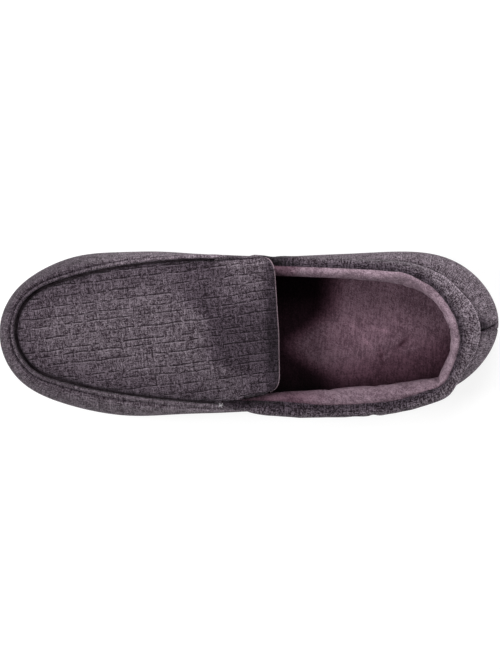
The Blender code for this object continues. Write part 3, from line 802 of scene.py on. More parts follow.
def wall_rows(ring, inset, end_depth, end_height, lower, upper):
    """Depth and height of the wall: one curve from the sole to its widest line, one on to its edge."""
    low = seat_height(ring, ring.foot + inset)
    wide = seat_height(ring, ring.foot) + ring.rise
    lower = lower[:, None]
    upper = upper[:, None]
    lower_depth = bezier(ring.foot, 0.0, 0.0, lower) + inset
    lower_height = bezier(low - SEAT_GAP - WALL_SINK, low + LOWER_PULL * (wide - low), wide, lower)
    upper_depth = bezier(inset, inset, end_depth, upper)
    upper_height = bezier(wide, wide + ring.shoulder * (end_height - wide), end_height, upper)
    depth = np.concatenate([lower_depth, upper_depth])
    return depth, np.concatenate([lower_height, upper_height])


def crest_height(x):
    """Height of the apron along the spine: a smooth curve through CREST."""
    stations, heights = np.array(CREST).T
    slopes = np.gradient(heights, stations)
    left = np.clip(np.searchsorted(stations, x) - 1, 0, len(CREST) - 2)
    width = stations[left + 1] - stations[left]
    share = (x - stations[left]) / width
    rise = heights[left + 1] - heights[left]
    bow_left = slopes[left] * width - rise
    bow_right = rise - slopes[left + 1] * width
    bow = share * (1 - share) * (bow_left * (1 - share) + bow_right * share)
    return heights[left] + rise * share + bow


def grid_faces(rows, columns, rows_closed=False, columns_closed=False):
    """Quads of a grid of points, joined round where a way is closed, and the grid place of each corner."""
    row = np.arange(rows if rows_closed else rows - 1)
    column = np.arange(columns if columns_closed else columns - 1)
    row, column = np.meshgrid(row, column, indexing="ij")
    steps = np.array([(0, 0), (0, 1), (1, 1), (1, 0)])
    corner_row = row.reshape(-1, 1) + steps[:, 0]
    corner_column = column.reshape(-1, 1) + steps[:, 1]
    return (corner_row % rows) * columns + corner_column % columns, corner_row, corner_column


def welded(points, faces):
    """Which points stay where several lie in one place, and the faces between them."""
    rounded = np.round(points, WELD_DIGITS)
    _, kept, merged = np.unique(rounded, axis=0, return_index=True, return_inverse=True)
    return kept, merged.reshape(-1)[faces]


def new_piece(name, points, faces, material, uv=None, tone=None):
    """A smooth mesh piece that rides on the shoe. Quads whose corners meet become triangles or go.

    tone is kept with each point as painted light and shade: it lightens or darkens its material there, and 1
    leaves it as it is.
    """
    points = points.reshape(-1, 3)
    tone = np.ones(len(points)) if tone is None else tone.reshape(-1)
    kept, faces = welded(points, faces)
    points = points[kept]
    same = faces == np.roll(faces, -1, axis=1)
    sound = (same.sum(axis=1) < 2) & (faces[:, 0] != faces[:, 2]) & (faces[:, 1] != faces[:, 3])
    faces, same = faces[sound], same[sound]
    corners = [row[~drop].tolist() for row, drop in zip(faces, same)]
    mesh = bpy.data.meshes.new(name)
    mesh.from_pydata((points * MM).tolist(), [], corners)
    if uv is not None:
        layer = mesh.uv_layers.new(name="cloth")
        layer.uv.foreach_set("vector", (uv[sound][~same] * MM).astype(np.float32).ravel())
    tones = mesh.attributes.new("tone", "FLOAT", "POINT")
    tones.data.foreach_set("value", tone[kept].astype(np.float32))
    mesh.shade_smooth()
    mesh.materials.append(material)
    piece = bpy.data.objects.new(name, mesh)
    bpy.context.scene.collection.objects.link(piece)
    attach(piece, "root")
    return piece


def normals_of(grid, folds=()):
    """Unit normals of a grid of points: the cross product of its two ways, upright where they are flat.

    A folded row runs to the spine and back on itself, so it takes the mean of the two sides beside it.
    """
    along = np.gradient(grid, axis=0)
    across = np.gradient(grid, axis=1)
    normal = np.cross(along, across)
    for row, beside in folds:
        normal[row] = normal[beside] + normal[beside][::-1]
    size = np.linalg.norm(normal, axis=-1, keepdims=True)
    flat = size < 1e-9
    return np.where(flat, (0.0, 0.0, 1.0), normal / np.where(flat, 1.0, size))


TOE_FOLD = ((0, 1),)
BOTH_FOLDS = ((0, 1), (-1, -2))


def pillow_piece(name, top, thick, to_edge, round_over, material, folds=(), tone=None):
    """A closed sheet under a grid of top points: two faces about its middle, which close round its edge.

    Half the thickness falls as a quarter ellipse over the last round_over millimetres to the edge.
    """
    normal = normals_of(top, folds)
    normal = normal * np.sign(normal[..., 2:] + 1e-9)
    middle = top - normal * thick / 2
    share = np.clip(to_edge / round_over, 0.0, 1.0)
    half = thick / 2 * np.sqrt(np.clip(1 - (1 - share) ** 2, 0, 1))
    upper = middle + normal * half[..., None]
    lower = middle - normal * half[..., None]
    faces, _, _ = grid_faces(*top.shape[:2])
    turned = np.cross(np.gradient(top, axis=0), np.gradient(top, axis=1))[..., 2].mean() < 0
    upper_faces = faces[:, ::-1] if turned else faces
    lower_faces = (faces if turned else faces[:, ::-1]) + top.shape[0] * top.shape[1]
    points = np.concatenate([upper.reshape(-1, 3), lower.reshape(-1, 3)])
    tone = None if tone is None else np.concatenate([tone.reshape(-1), tone.reshape(-1)])
    return new_piece(name, points, np.concatenate([upper_faces, lower_faces]), material, tone=tone)


def add(tree, kind, inputs=None, **settings):
    """A node with its settings, whose inputs take numbers or the outputs of other nodes."""
    made = tree.nodes.new(kind)
    for name, value in settings.items():
        setattr(made, name, value)
    for slot, value in (inputs or {}).items():
        if isinstance(value, bpy.types.NodeSocket):
            tree.links.new(value, made.inputs[slot])
        else:
            made.inputs[slot].default_value = value
    return made


def calc(tree, operation, *values):
    """The output of a math node."""
    return add(tree, "ShaderNodeMath", dict(enumerate(values)), operation=operation).outputs[0]


def ramp(tree, value, low, high, start=0.0, end=1.0):
    """value between low and high turned smoothly into start to end."""
    inputs = {0: value, 1: low, 2: high, 3: start, 4: end}
    return add(tree, "ShaderNodeMapRange", inputs, interpolation_type="SMOOTHSTEP").outputs[0]


def scaled(tree, vector, size):
    """A place in millimetres counted in steps of size along its three ways."""
    steps = tuple(1 / measure for measure in size)
    return add(tree, "ShaderNodeVectorMath", {0: vector, 1: steps}, operation="MULTIPLY").outputs[0]


def grain(tree, vector, size, detail=2.0):
    """Cloudy noise whose grains have that size in millimetres along the three ways."""
    inputs = {"Vector": scaled(tree, vector, size), "Scale": 1.0, "Detail": detail, "Roughness": 0.55}
    return add(tree, "ShaderNodeTexNoise", inputs).outputs[0]


def grained(tree, vector, row):
    """One row of grain in a cloth, as 0 to 1."""
    return ramp(tree, grain(tree, vector, row.size, row.detail), row.low, row.high)


def weighted(tree, start, *parts):
    """A start value, and every part of a cloth times its weight, added up."""
    total = start
    for value, weight in parts:
        total = calc(tree, "MULTIPLY_ADD", value, weight, total)
    return total


def mixed(tree, share, first, second, blend="MIX"):
    """Two colours mixed by share."""
    made = add(tree, "ShaderNodeMix", data_type="RGBA", blend_type=blend)
    for slot, value in ((0, share), (6, first), (7, second)):
        if isinstance(value, bpy.types.NodeSocket):
            tree.links.new(value, made.inputs[slot])
        else:
            made.inputs[slot].default_value = (*value, 1.0) if slot else value
    return made.outputs[2]


def finish(name, roughness, sheen=0.0, sheen_rough=0.5, specular=0.25):
    """A new material with its shader's plain values set on the shader itself."""
    material = bpy.data.materials.new(name)
    material.use_nodes = True
    shader = material.node_tree.nodes["Principled BSDF"]
    shader.inputs["Roughness"].default_value = roughness
    shader.inputs["Metallic"].default_value = 0.0
    shader.inputs["Specular IOR Level"].default_value = specular
    shader.inputs["Sheen Weight"].default_value = sheen
    shader.inputs["Sheen Roughness"].default_value = sheen_rough
    return material, material.node_tree, shader


def millimetres(tree, source, turn=0.0):
    """Object or UV coordinates in millimetres, turned about Z."""
    place = add(tree, "ShaderNodeTexCoord").outputs[source]
    inputs = {"Vector": place, "Rotation": (0.0, 0.0, radians(turn)), "Scale": (1 / MM, 1 / MM, 1 / MM)}
    return add(tree, "ShaderNodeMapping", inputs, vector_type="POINT").outputs[0]


def toned(tree, shader, colour, shadow=(1.0, 1.0, 1.0)):
    """The colour made lighter or darker by the piece's painted light and shade, and tinted by shadow where it
    is dark.
    """
    tone = add(tree, "ShaderNodeAttribute", attribute_name="tone").outputs["Fac"]
    shaded = add(tree, "ShaderNodeVectorMath", {0: colour, 3: tone}, operation="SCALE").outputs[0]
    tint = mixed(tree, calc(tree, "MINIMUM", tone, 1.0), shadow, (1.0, 1.0, 1.0))
    tinted = add(tree, "ShaderNodeVectorMath", {0: shaded, 1: tint}, operation="MULTIPLY").outputs[0]
    tree.links.new(tinted, shader.inputs["Base Color"])


def bumped(tree, shader, height, depth, strength=1.0):
    """Height relief of that depth in millimetres on the shader's normal."""
    inputs = {"Height": height, "Distance": depth * MM, "Strength": strength}
    tree.links.new(add(tree, "ShaderNodeBump", inputs).outputs[0], shader.inputs["Normal"])


def dashes(tree, along, across, dash):
    """Broken lines: rows a pitch apart, each a thread wide, cut by noise into runs."""
    rows = calc(tree, "DIVIDE", across, dash.pitch)
    row = calc(tree, "FLOOR", rows)
    seeded = calc(tree, "ADD", row, dash.seed)
    draw = add(tree, "ShaderNodeTexWhiteNoise", {"W": seeded}, noise_dimensions="1D")
    middle = calc(tree, "MULTIPLY_ADD", draw.outputs[0], DASH_STRAY, (1 - DASH_STRAY) / 2)
    off = calc(tree, "ABSOLUTE", calc(tree, "SUBTRACT", calc(tree, "FRACT", rows), middle))
    off = calc(tree, "MULTIPLY", off, dash.pitch)
    thread = ramp(tree, off, dash.thick * DASH_CORE, dash.thick, 1.0, 0.0)
    place = add(tree, "ShaderNodeCombineXYZ", {
        0: calc(tree, "DIVIDE", along, dash.run),
        1: calc(tree, "MULTIPLY_ADD", row, DASH_ROW_STEP, dash.seed),
    })
    noise = {"Vector": place.outputs[0], "Scale": 1.0, "Detail": 1.0}
    cut = add(tree, "ShaderNodeTexNoise", noise, noise_dimensions="2D").outputs[0]
    kept = 1 - dash.share
    return calc(tree, "MULTIPLY", thread, ramp(tree, cut, kept - DASH_CUT, kept + DASH_CUT))


def heather_cloth(name, source, turn, line_share, shade, contrast, coarse):
    """Heather cloth: crossing yarns, dark broken lines with painted glints beside them, and fine ribs."""
    material, tree, shader = finish(name, roughness=0.95, sheen=0.05, sheen_rough=0.4, specular=0.12)
    place = millimetres(tree, source, turn)
    sway = calc(tree, "MULTIPLY_ADD", grain(tree, place, SWAY_SIZE), SWAY, -SWAY / 2)
    ways = add(tree, "ShaderNodeSeparateXYZ", {0: place}).outputs
    along = ways[0]
    across = calc(tree, "ADD", ways[1], sway)

    yarns = scaled(tree, place, (coarse, coarse, coarse))
    yarn = weighted(
        tree, YARN_DARKER,
        (grained(tree, yarns, YARN_ALONG), ALONG_WEIGHT),
        (grained(tree, yarns, YARN_ACROSS), ACROSS_WEIGHT),
        (grained(tree, yarns, YARN_SPECKLE), SPECKLE_WEIGHT),
        (grained(tree, place, YARN_PATCH), PATCH_WEIGHT),
    )
    yarn = calc(tree, "MULTIPLY_ADD", yarn, contrast, YARN_MEAN * (1 - contrast))

    dark = weighted(
        tree, 0.0,
        (dashes(tree, along, across, LONG_LINES), LINE_WEIGHT * line_share),
        (dashes(tree, along, across, FAINT_LINES), FAINT_WEIGHT),
        (dashes(tree, ways[1], calc(tree, "ADD", along, sway), CROSS_TICKS), TICK_WEIGHT),
    )
    # Pale slubs in the yarn, and painted glints beside the long dark lines.
    slubs_and_glints = weighted(
        tree, 0.0,
        (dashes(tree, ways[1], along, SLUBS), SLUB_WEIGHT),
        (dashes(tree, along, calc(tree, "ADD", across, GLINT_OFF), LONG_LINES), GLINT_WEIGHT * line_share),
    )
    shaded = [tuple(shade * part for part in tone) for tone in HEATHER_TONES]
    low_tone, high_tone, bright_tone, dark_tone = shaded
    colour = mixed(tree, yarn, low_tone, high_tone)
    colour = mixed(tree, slubs_and_glints, colour, bright_tone)
    colour = mixed(tree, calc(tree, "MINIMUM", dark, DARK_MOST), colour, dark_tone)
    toned(tree, shader, colour, HEATHER_SHADOW)

    rib = calc(tree, "SINE", calc(tree, "MULTIPLY", ways[1], 2 * np.pi / RIB_PITCH))
    relief = weighted(tree, yarn, (rib, RIB_RELIEF), (dark, DARK_RELIEF))
    bumped(tree, shader, relief, HEATHER_RELIEF, HEATHER_RELIEF_STRENGTH)
    return material


def velour_cloth(name, dark, light, sheen, pile_weight, streak_weight):
    """Mauve velour: a fine nap, cloudy patches, cross streaks, and thin pale marks where it was brushed."""
    material, tree, shader = finish(name, roughness=0.95, sheen=sheen, sheen_rough=0.35, specular=0.1)
    shader.inputs["Sheen Tint"].default_value = (*light, 1.0)
    place = millimetres(tree, "Object", VELOUR_TURN)
    ways = add(tree, "ShaderNodeSeparateXYZ", {0: place}).outputs
    bent = calc(tree, "MULTIPLY_ADD", grain(tree, place, BRUSH_SWAY_SIZE), BRUSH_SWAY, ways[1])
    nap = grained(tree, place, VELOUR_NAP)
    share = weighted(
        tree, HAIR_LIGHT - pile_weight - 0.5 * streak_weight,
        (nap, pile_weight),
        (grained(tree, place, VELOUR_PILE), pile_weight),
        (grained(tree, millimetres(tree, "Object", STREAK_TURN), VELOUR_STREAKS), streak_weight),
        (grained(tree, place, VELOUR_TUFTS), TUFT_WEIGHT),
        (grained(tree, place, VELOUR_CLOUD), CLOUD_WEIGHT),
        (dashes(tree, ways[0], bent, BRUSH_MARKS), MARK_WEIGHT),
    )
    toned(tree, shader, mixed(tree, share, dark, light), VELOUR_SHADOW)
    bumped(tree, shader, weighted(tree, share, (nap, NAP_RELIEF)), VELOUR_RELIEF, VELOUR_RELIEF_STRENGTH)
    return material


def sole_rubber(name, dark, dusty):
    """Dark moulded rubber: fine stipple, and faint dust."""
    material, tree, shader = finish(name, roughness=0.62, specular=0.4)
    place = millimetres(tree, "Object")
    stipple = grain(tree, place, RUBBER_STIPPLE, detail=1.0)
    dust = grained(tree, place, RUBBER_DUST)
    tree.links.new(mixed(tree, dust, dark, dusty), shader.inputs["Base Color"])
    tree.links.new(ramp(tree, stipple, low=0.3, high=0.7, start=0.55, end=0.72), shader.inputs["Roughness"])
    bumped(tree, shader, stipple, depth=0.12, strength=0.5)
    return material


def thread_yarn(name, dark, light):
    """White thread: fine grains of light and dark fibre."""
    material, tree, shader = finish(name, roughness=0.8, sheen=0.2)
    fibre = grain(tree, millimetres(tree, "Object"), THREAD_FIBRE, detail=1.0)
    tree.links.new(mixed(tree, fibre, dark, light), shader.inputs["Base Color"])
    bumped(tree, shader, fibre, depth=0.1, strength=0.6)
    return material


WALL_HEATHER = heather_cloth(
    "wall_heather", "UV", turn=0.0, line_share=0.45, shade=1.0, contrast=1.45, coarse=1.0,
)
APRON_HEATHER = heather_cloth(
    "apron_heather", "Object", turn=-7.5, line_share=1.0, shade=1.0, contrast=1.35, coarse=1.0,
)
CUFF_HEATHER = heather_cloth(
    "cuff_heather", "UV", turn=0.0, line_share=0.25, shade=1.02, contrast=1.85, coarse=1.50,
)
COLLAR_VELOUR = velour_cloth(
    "collar_velour", dark=(0.105, 0.068, 0.088), light=(0.300, 0.220, 0.262),
    sheen=0.10, pile_weight=0.40, streak_weight=0.12,
)
SOCK_VELOUR = velour_cloth(
    "sock_velour", dark=(0.084, 0.046, 0.063), light=(0.200, 0.121, 0.156),
    sheen=0.05, pile_weight=0.46, streak_weight=0.42,
)
PIPING_VELOUR = velour_cloth(
    "piping_velour", dark=(0.200, 0.140, 0.168), light=(0.340, 0.255, 0.295),
    sheen=0.10, pile_weight=0.30, streak_weight=0.0,
)
# Near-black velour for the strip that stands in for the shadow in the seam's groove.
GROOVE_SHADOW_DARK = velour_cloth(
    "groove_shadow_dark", dark=(0.014, 0.009, 0.012), light=(0.050, 0.038, 0.046),
    sheen=0.0, pile_weight=0.40, streak_weight=0.0,
)
RUBBER = sole_rubber("sole_rubber", dark=(0.026, 0.024, 0.026), dusty=(0.045, 0.042, 0.044))
TACK_THREAD = thread_yarn("tack_thread", dark=(0.30, 0.28, 0.30), light=(0.60, 0.58, 0.60))


def crease_relief(x, y, creases):
    """Height of soft creases: troughs along short lines, deepest in the middle and fading to both ends."""
    total = np.zeros_like(x)
    for crease in creases:
        way = radians(crease.turn)
        along = (x - crease.x) * np.cos(way) + (y - crease.y) * np.sin(way)
        off = (y - crease.y) * np.cos(way) - (x - crease.x) * np.sin(way)
        total -= crease.depth * bell(along, crease.half_length) * bell(off, crease.half_width)
    return total


def profile_normals(depth, height):
    """Outward way of a profile in depth and height: its run turned by a quarter."""
    run_in = np.gradient(depth, axis=0)
    run_up = np.gradient(height, axis=0)
    size = np.maximum(np.hypot(run_in, run_up), 1e-9)
    return -run_up / size, run_in / size


def wall_place(ring, arc, depth, height, edge_row):
    """Where each point of the wall's outside lies: up from the sole, below the edge, round from the back."""
    step = np.hypot(np.diff(depth, axis=0, prepend=depth[:1]), np.diff(height, axis=0, prepend=height[:1]))
    run = np.cumsum(step, axis=0)
    below = run[edge_row] - run
    arc = np.broadcast_to(arc, depth.shape)
    from_back = np.where(arc > FULL_TURN / 2, arc - FULL_TURN, arc)
    x, y = ring.place.T
    toe = fade(x, TOE_X)
    return WallPlace(
        x, y, arc, run, below, from_back,
        front=front_share(ring),
        toe=toe,
        heel=fade(x, HEEL_X),
        high=fade(run / run[edge_row], BACK_HIGH),
        off_seam=from_back - BACK_SEAM_TILT * below,
        wedge=BACK_SEAM_WIDTH * (1 + fade(below, BACK_WEDGE_BELOW)),
        crease_at=SEAM_CREASE_SIDE + (SEAM_CREASE_TOE - SEAM_CREASE_SIDE) * toe,
    )


def wall_relief(at):
    """Height of the wall's soft shapes along its normal: bells for creases and puffs, waves for puckers."""
    from_crease = at.below - at.crease_at
    relief = -SEAM_CREASE_DEPTH * bell(from_crease, SEAM_CREASE_WIDTH) * at.front
    relief += SEAM_PUFF * hump(from_crease, SEAM_PUFF_BELOW) * at.front
    sway = ripple(at.arc, at.below, TOE_PUCKER_SWAY)
    pucker = np.sin(2 * np.pi * at.arc / TOE_PUCKER_PITCH + sway)
    relief += TOE_PUCKER * pucker * hump(at.below, TOE_PUCKER_BELOW) * at.toe
    uneven = ripple(at.arc, at.run, WALL_WAVE)
    relief += uneven * fade(at.run, WALL_WAVE_FROM_SOLE) * fade(at.below, WALL_WAVE_FROM_EDGE)

    relief -= BACK_SEAM_DEPTH * bell(at.off_seam, at.wedge) * at.high
    relief -= BACK_LINE_DEPTH * bell(at.from_back, BACK_LINE_WIDTH)
    relief += BACK_LOBE * hump(at.from_back, BACK_LOBE_ROUND) * at.high
    relief -= BACK_DIP * hump(at.from_back, BACK_DIP_ROUND) * at.high
    pucker = np.sin(2 * np.pi * at.run / BACK_PUCKER_PITCH + BACK_PUCKER_SLANT * at.from_back)
    relief += BACK_PUCKER * pucker * bell(at.from_back, BACK_PUCKER_WIDTH) * at.high

    relief -= CREASE_DEPTH * bell(at.below, CREASE_WIDTH) * (1 - at.front)
    relief += HEEL_PUFF * hump(at.below, HEEL_PUFF_BELOW) * at.heel
    from_tack = np.hypot(at.x - TACK_PUCKER_X, (at.below - TACK_PUCKER_BELOW) * TACK_PUCKER_FLAT)
    pucker = np.sin(2 * np.pi * (at.arc + at.below) / TACK_PUCKER_PITCH)
    return relief + TACK_PUCKER * pucker * bell(from_tack, TACK_PUCKER_REACH) * (at.y < 0)


def wall_painted_shading(at):
    """Painted light and shade of the wall: spans and bells along the shoe, across it and down from the wall's
    edge.
    """
    outer, inner = at.y < 0, at.y > 0
    behind = 1 - at.front
    inner_share = fade(at.y, INNER_SIDE_Y)
    # Painted light at the heel, on the inner wall, at the outer ball and in strips at the throat; painted
    # shade at the toe.
    tone = 1 + WALL_HEEL_LIGHT * at.heel * fade(at.run, WALL_HEEL_UP)
    tone = tone + OUTER_HEEL_LIGHT * fade(at.x, OUTER_HEEL_X) * fade(at.y, OUTER_HEEL_Y)
    tone = tone - at.toe * (TOE_SHADE + INNER_TOE_SHADE * inner_share)
    tone = tone + INNER_WALL_LIGHT * inner_share * fade(at.x, INNER_WALL_X)
    tone = tone + OUTER_BALL_LIGHT * hump(at.x, OUTER_BALL_X) * outer
    tone = tone + THROAT_STRIP_LIGHT * hump(at.x, THROAT_STRIP_X) * hump(at.below, THROAT_STRIP_BELOW) * outer
    tone = tone + INNER_STRIP_LIGHT * hump(at.x, INNER_STRIP_X) * hump(at.below, INNER_STRIP_BELOW) * inner
    # Painted highlight on the rim behind the outer throat; painted shade in the creases, along the back seam
    # and in its hollow.
    rim = fade(at.x, THROAT_RIM_X) * outer
    tone = tone + THROAT_STRIP_LIGHT * hump(at.below, THROAT_RIM_BELOW) * rim * behind
    tone = tone * (1 - CREASE_SHADE * hump(at.below, CREASE_SHADE_BELOW) * behind * (1 - rim))
    tone = tone * (1 - SEAM_SHADE * bell(at.below - at.crease_at, SEAM_CREASE_WIDTH) * at.front)
    tone = tone * (1 - BACK_SHADE * bell(at.off_seam, at.wedge) * at.high)
    tone = tone * (1 - BACK_LINE_SHADE * bell(at.from_back, BACK_LINE_WIDTH))
    hollow = hump(at.from_back, BACK_HOLLOW_ROUND) * hump(at.below, BACK_HOLLOW_BELOW)
    return tone * (1 - BACK_HOLLOW_SHADE * hollow)


def make_wall():
    """The cloth wall: a closed profile carried round the shoe.

    The profile runs up the outside, over the raised seam or the plain rim, and down the inside.
    Soft relief stands on the outside along its normal: seam crease, toe puckers and back seam.
    """
    back_turn = np.interp(BACK_SEAM_SIDE, ROWS[[-1, 0], 1], KNOTS[[-2, -1]])
    arc = np.linspace(0, FULL_TURN, WALL_COLUMNS, endpoint=False)
    ring = ring_of(back_turn + arc)
    front = front_share(ring)

    lower = np.linspace(0, 1, WALL_LOWER_ROWS)
    upper = 1 - (1 - np.linspace(0, 1, WALL_UPPER_ROWS)[1:]) ** WALL_CROWDING
    depth, height = wall_rows(ring, 0.0, ring.edge_in, ring.edge_up, lower, upper)
    edge_row = len(depth) - 1
    seam = np.array(SEAM_PROFILE)[:, None] * front[:, None]
    seam = seam + np.array(RIM_PROFILE)[:, None] * (1 - front[:, None])
    seam_rows = np.linspace(0, len(SEAM_PROFILE) - 1, SEAM_ROWS)[1:]
    seam = smooth_line(seam, np.repeat(seam_rows[:, None], WALL_COLUMNS, axis=1))
    depth = np.concatenate([depth, ring.edge_in + seam[..., 0]])
    height = np.concatenate([height, ring.edge_up + seam[..., 1]])

    at = wall_place(ring, arc, depth, height, edge_row)
    on_wall = np.arange(len(depth))[:, None] <= edge_row
    relief = np.where(on_wall, wall_relief(at), 0.0)
    out_in, out_up = profile_normals(depth, height)
    depth = depth + relief * out_in
    height = height + relief * out_up

    inside_in = ring.edge_in + WALL_CLOTH + INSIDE_STEP * front
    inside_up = ring.edge_up - INSIDE_DROP - INSIDE_SEAM_DROP * front
    inside_lower = np.linspace(0, 1, INSIDE_LOWER_ROWS)
    inside_upper = np.linspace(0, 1, INSIDE_UPPER_ROWS)[1:]
    inner_depth, inner_height = wall_rows(ring, WALL_CLOTH, inside_in, inside_up, inside_lower, inside_upper)
    depth = np.concatenate([depth, inner_depth[::-1]])
    height = np.concatenate([height, inner_height[::-1]])
    tone = np.concatenate([wall_painted_shading(at), np.ones_like(inner_depth)])
    faces, row, column = grid_faces(*depth.shape, rows_closed=True, columns_closed=True)
    along = np.concatenate([arc, [FULL_TURN]])
    up = at.run.mean(axis=1)
    up = np.concatenate([up, up[-1] + np.arange(1, len(inner_depth) + 2) * INSIDE_ROW_HEIGHT])
    uv = np.stack([along[column], up[row]], axis=-1)[:, ::-1]
    points = placed(ring, depth, height)
    piece = new_piece("cloth_wall", points, faces[:, ::-1], WALL_HEATHER, uv, tone)
    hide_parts("upper")


def apron_lines(front_count, flap_count):
    """Stations of the apron from toe to flap end: its two edges, its spine, and their share along the flap.

    The front's edges follow the groove, crowded at the toe by a cosine. The flap's run to its corners.
    """
    quarter = np.linspace(0, np.pi / 2, front_count)
    stations = THROAT - (THROAT + LENGTH / 2) * np.cos(quarter)
    run = np.linspace(0, 1, flap_count + 1)[1:]
    edges = []
    for inner_side, corner in ((True, INNER_CORNER), (False, OUTER_CORNER)):
        ring = ring_of(turn_at(stations, inner_side))
        edge = placed(ring, ring.edge_in + SEAM_MIDDLE + groove_half(ring), ring.edge_up + APRON_EDGE_UP)
        throat = edge[-1]
        flap_level = throat[:2] + (np.array(corner) - throat[:2]) * run[:, None]
        flap_height = throat[2] + np.sin(run * np.pi / 2) * (FLAP_EDGE_UP - throat[2])
        edges.append(np.concatenate([edge, np.column_stack([flap_level, flap_height])]))
    throat_spine = spine_x(THROAT)
    spine = np.concatenate([spine_x(stations), throat_spine + (FLAP_END - throat_spine) * run])
    return edges[0], edges[1], spine, np.concatenate([np.zeros(front_count), run])


def dome_grid(inner, outer, spine, run, shares):
    """Rows across the apron from its inner edge over the spine to its outer one, and the distance to an edge.

    Each half rises from its edge as a dome that is level at the spine. The flap's corners are rounded off
    and its end bends down.
    """
    top = np.column_stack([spine, np.full(len(spine), SPINE_SIDE), crest_height(spine)])
    halves = []
    for edge in (inner, outer):
        share = shares[None, :, None]
        half = edge[:, None] + (top - edge)[:, None] * share
        lift = (top[:, 2] - edge[:, 2])[:, None] * (1 - (1 - shares) ** 2)
        half[..., 2] = edge[:, None, 2] + lift
        across = np.linalg.norm((edge - top)[:, :2], axis=1)[:, None] * shares
        inside = np.clip(1 - across / FLAP_CORNER_WIDE, 0, 1)
        half[..., 0] -= run[:, None] * FLAP_CORNER_LONG * (1 - np.sqrt(1 - inside**2))
        lip = smooth_step((run - FLAP_LIP_FROM) / (1 - FLAP_LIP_FROM))[:, None]
        half[..., 2] -= FLAP_LIP * lip * smooth_step(shares / FLAP_LIP_SIDE)
        halves.append((half, across))
    (inner_half, inner_across), (outer_half, outer_across) = halves
    outer_half[0] = inner_half[0]
    grid = np.concatenate([inner_half, outer_half[:, -2::-1]], axis=1)
    return grid, np.concatenate([inner_across, outer_across[:, -2::-1]], axis=1)


def apron_painted_shading(x, y, to_edge, tucked):
    """Painted shade over the apron's flap, rim, end and edges, and painted light on the flap's inner rim."""
    # Painted shade over the flap, with painted light on its inner and outer sides, and more shade in a fold
    # and at its end.
    start = FLAP_SHADE_FROM - FLAP_SHADE_SLANT * fade(y, FLAP_SHADE_SLANT_Y)
    start = start + FLAP_SHADE_LATE * fade(y, FLAP_SHADE_LATE_Y)
    dark = smooth_step((x - start) / FLAP_SHADE_RUN)
    level = FLAP_SHADE_LEVEL + FLAP_INNER_LIGHT * fade(y, FLAP_INNER_Y) + FLAP_OUTER_LIGHT * fade(y, FLAP_OUTER_Y)
    tone = 1 - (1 - level) * dark
    tone = tone * (1 - FLAP_FOLD_SHADE * near(x, y, FLAP_FOLD))
    tone = tone * (1 - FLAP_END_SHADE * fade(x, FLAP_END_X))
    # Painted shade at the rim and tucked edge, a painted shadow line on the flap's inner edge and a highlight
    # just inside it.
    tone = tone * APRON_LIGHT * (1 - APRON_RIM_SHADE * bell(to_edge, APRON_RIM_WIDTH) * tucked)
    tone = tone * (1 - APRON_EDGE_SHADE * bell(to_edge, APRON_EDGE_WIDTH) * tucked)
    inner_edge = np.arange(x.shape[1]) < x.shape[1] // 2
    line = bell(to_edge, FLAP_LINE_WIDTH) * hump(x, FLAP_LINE_X)
    rim = hump(to_edge, FLAP_RIM_IN) * fade(x, FLAP_RIM_X)
    return tone * (1 - FLAP_LINE_SHADE * line * inner_edge) * (1 + FLAP_RIM_LIGHT * rim * inner_edge)


def make_apron():
    """The apron and tongue flap: the dome with its edge tucked into the seam and its soft creases.

    The flap's lining is the same dome lowered by the cloth and pushed out at its end, to show as piping.
    """
    inner, outer, spine, run = apron_lines(APRON_ROWS, FLAP_ROWS)
    shares = np.linspace(0, 1, APRON_HALF_COLUMNS) ** APRON_CROWDING
    top, to_edge = dome_grid(inner, outer, spine, run, shares)
    to_end = np.where(run[:, None] > 0, (1 - run[:, None]) * (FLAP_END - THROAT), FAR)
    edge = np.minimum(to_edge, to_end)
    x, y = top[..., 0], top[..., 1]
    tucked = fade(run, APRON_TUCK_RUN)[:, None]
    top[..., 2] -= APRON_TUCK * bell(to_edge, APRON_TUCK_WIDTH) * tucked
    top[..., 2] += crease_relief(x, y, APRON_CREASES) * fade(to_edge, APRON_CREASE_IN)
    top[..., 2] += ripple(x, y, APRON_WAVE) * fade(to_edge, APRON_WAVE_IN)
    tone = apron_painted_shading(x, y, to_edge, tucked)
    piece = pillow_piece(
        "apron_cloth", top, APRON_CLOTH, edge, APRON_ROUND, APRON_HEATHER, TOE_FOLD, tone,
    )
    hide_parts("apron")

    flap = run > 0
    under = top[flap] - (0, 0, APRON_CLOTH + FLAP_LINING_GAP)
    stretch = fade(run[flap], FLAP_PIPING_RUN)[:, None]
    corner = FLAP_PIPING_CORNER * bell(to_edge[flap], FLAP_PIPING_CORNER_WIDE)
    under[..., 0] += FLAP_PIPING * stretch * (1 + corner)
    under[..., 2] -= FLAP_PIPING_DROP * stretch
    pillow_piece(
        "flap_lining", under, FLAP_LINING, edge[flap], FLAP_LINING_ROUND, PIPING_VELOUR,
    )


def make_vamp_lining():
    """The ceiling of the toe box: the apron's dome lowered by the cloth above it."""
    inner, outer, spine, run = apron_lines(VAMP_ROWS, 1)
    front = run == 0
    shares = np.linspace(0, 1, VAMP_HALF_COLUMNS) ** VAMP_CROWDING
    top, to_edge = dome_grid(inner[front], outer[front], spine[front], run[front], shares)
    top[..., 2] -= (APRON_THICK + SEAT_GAP) * DOME_SLOPE
    to_throat = np.maximum(THROAT - top[:, :1, 0], 0.0)
    edge = np.minimum(to_edge, to_throat)
    pillow_piece("vamp_lining", top, VAMP_THICK, edge, VAMP_ROUND, SOCK_VELOUR, TOE_FOLD)


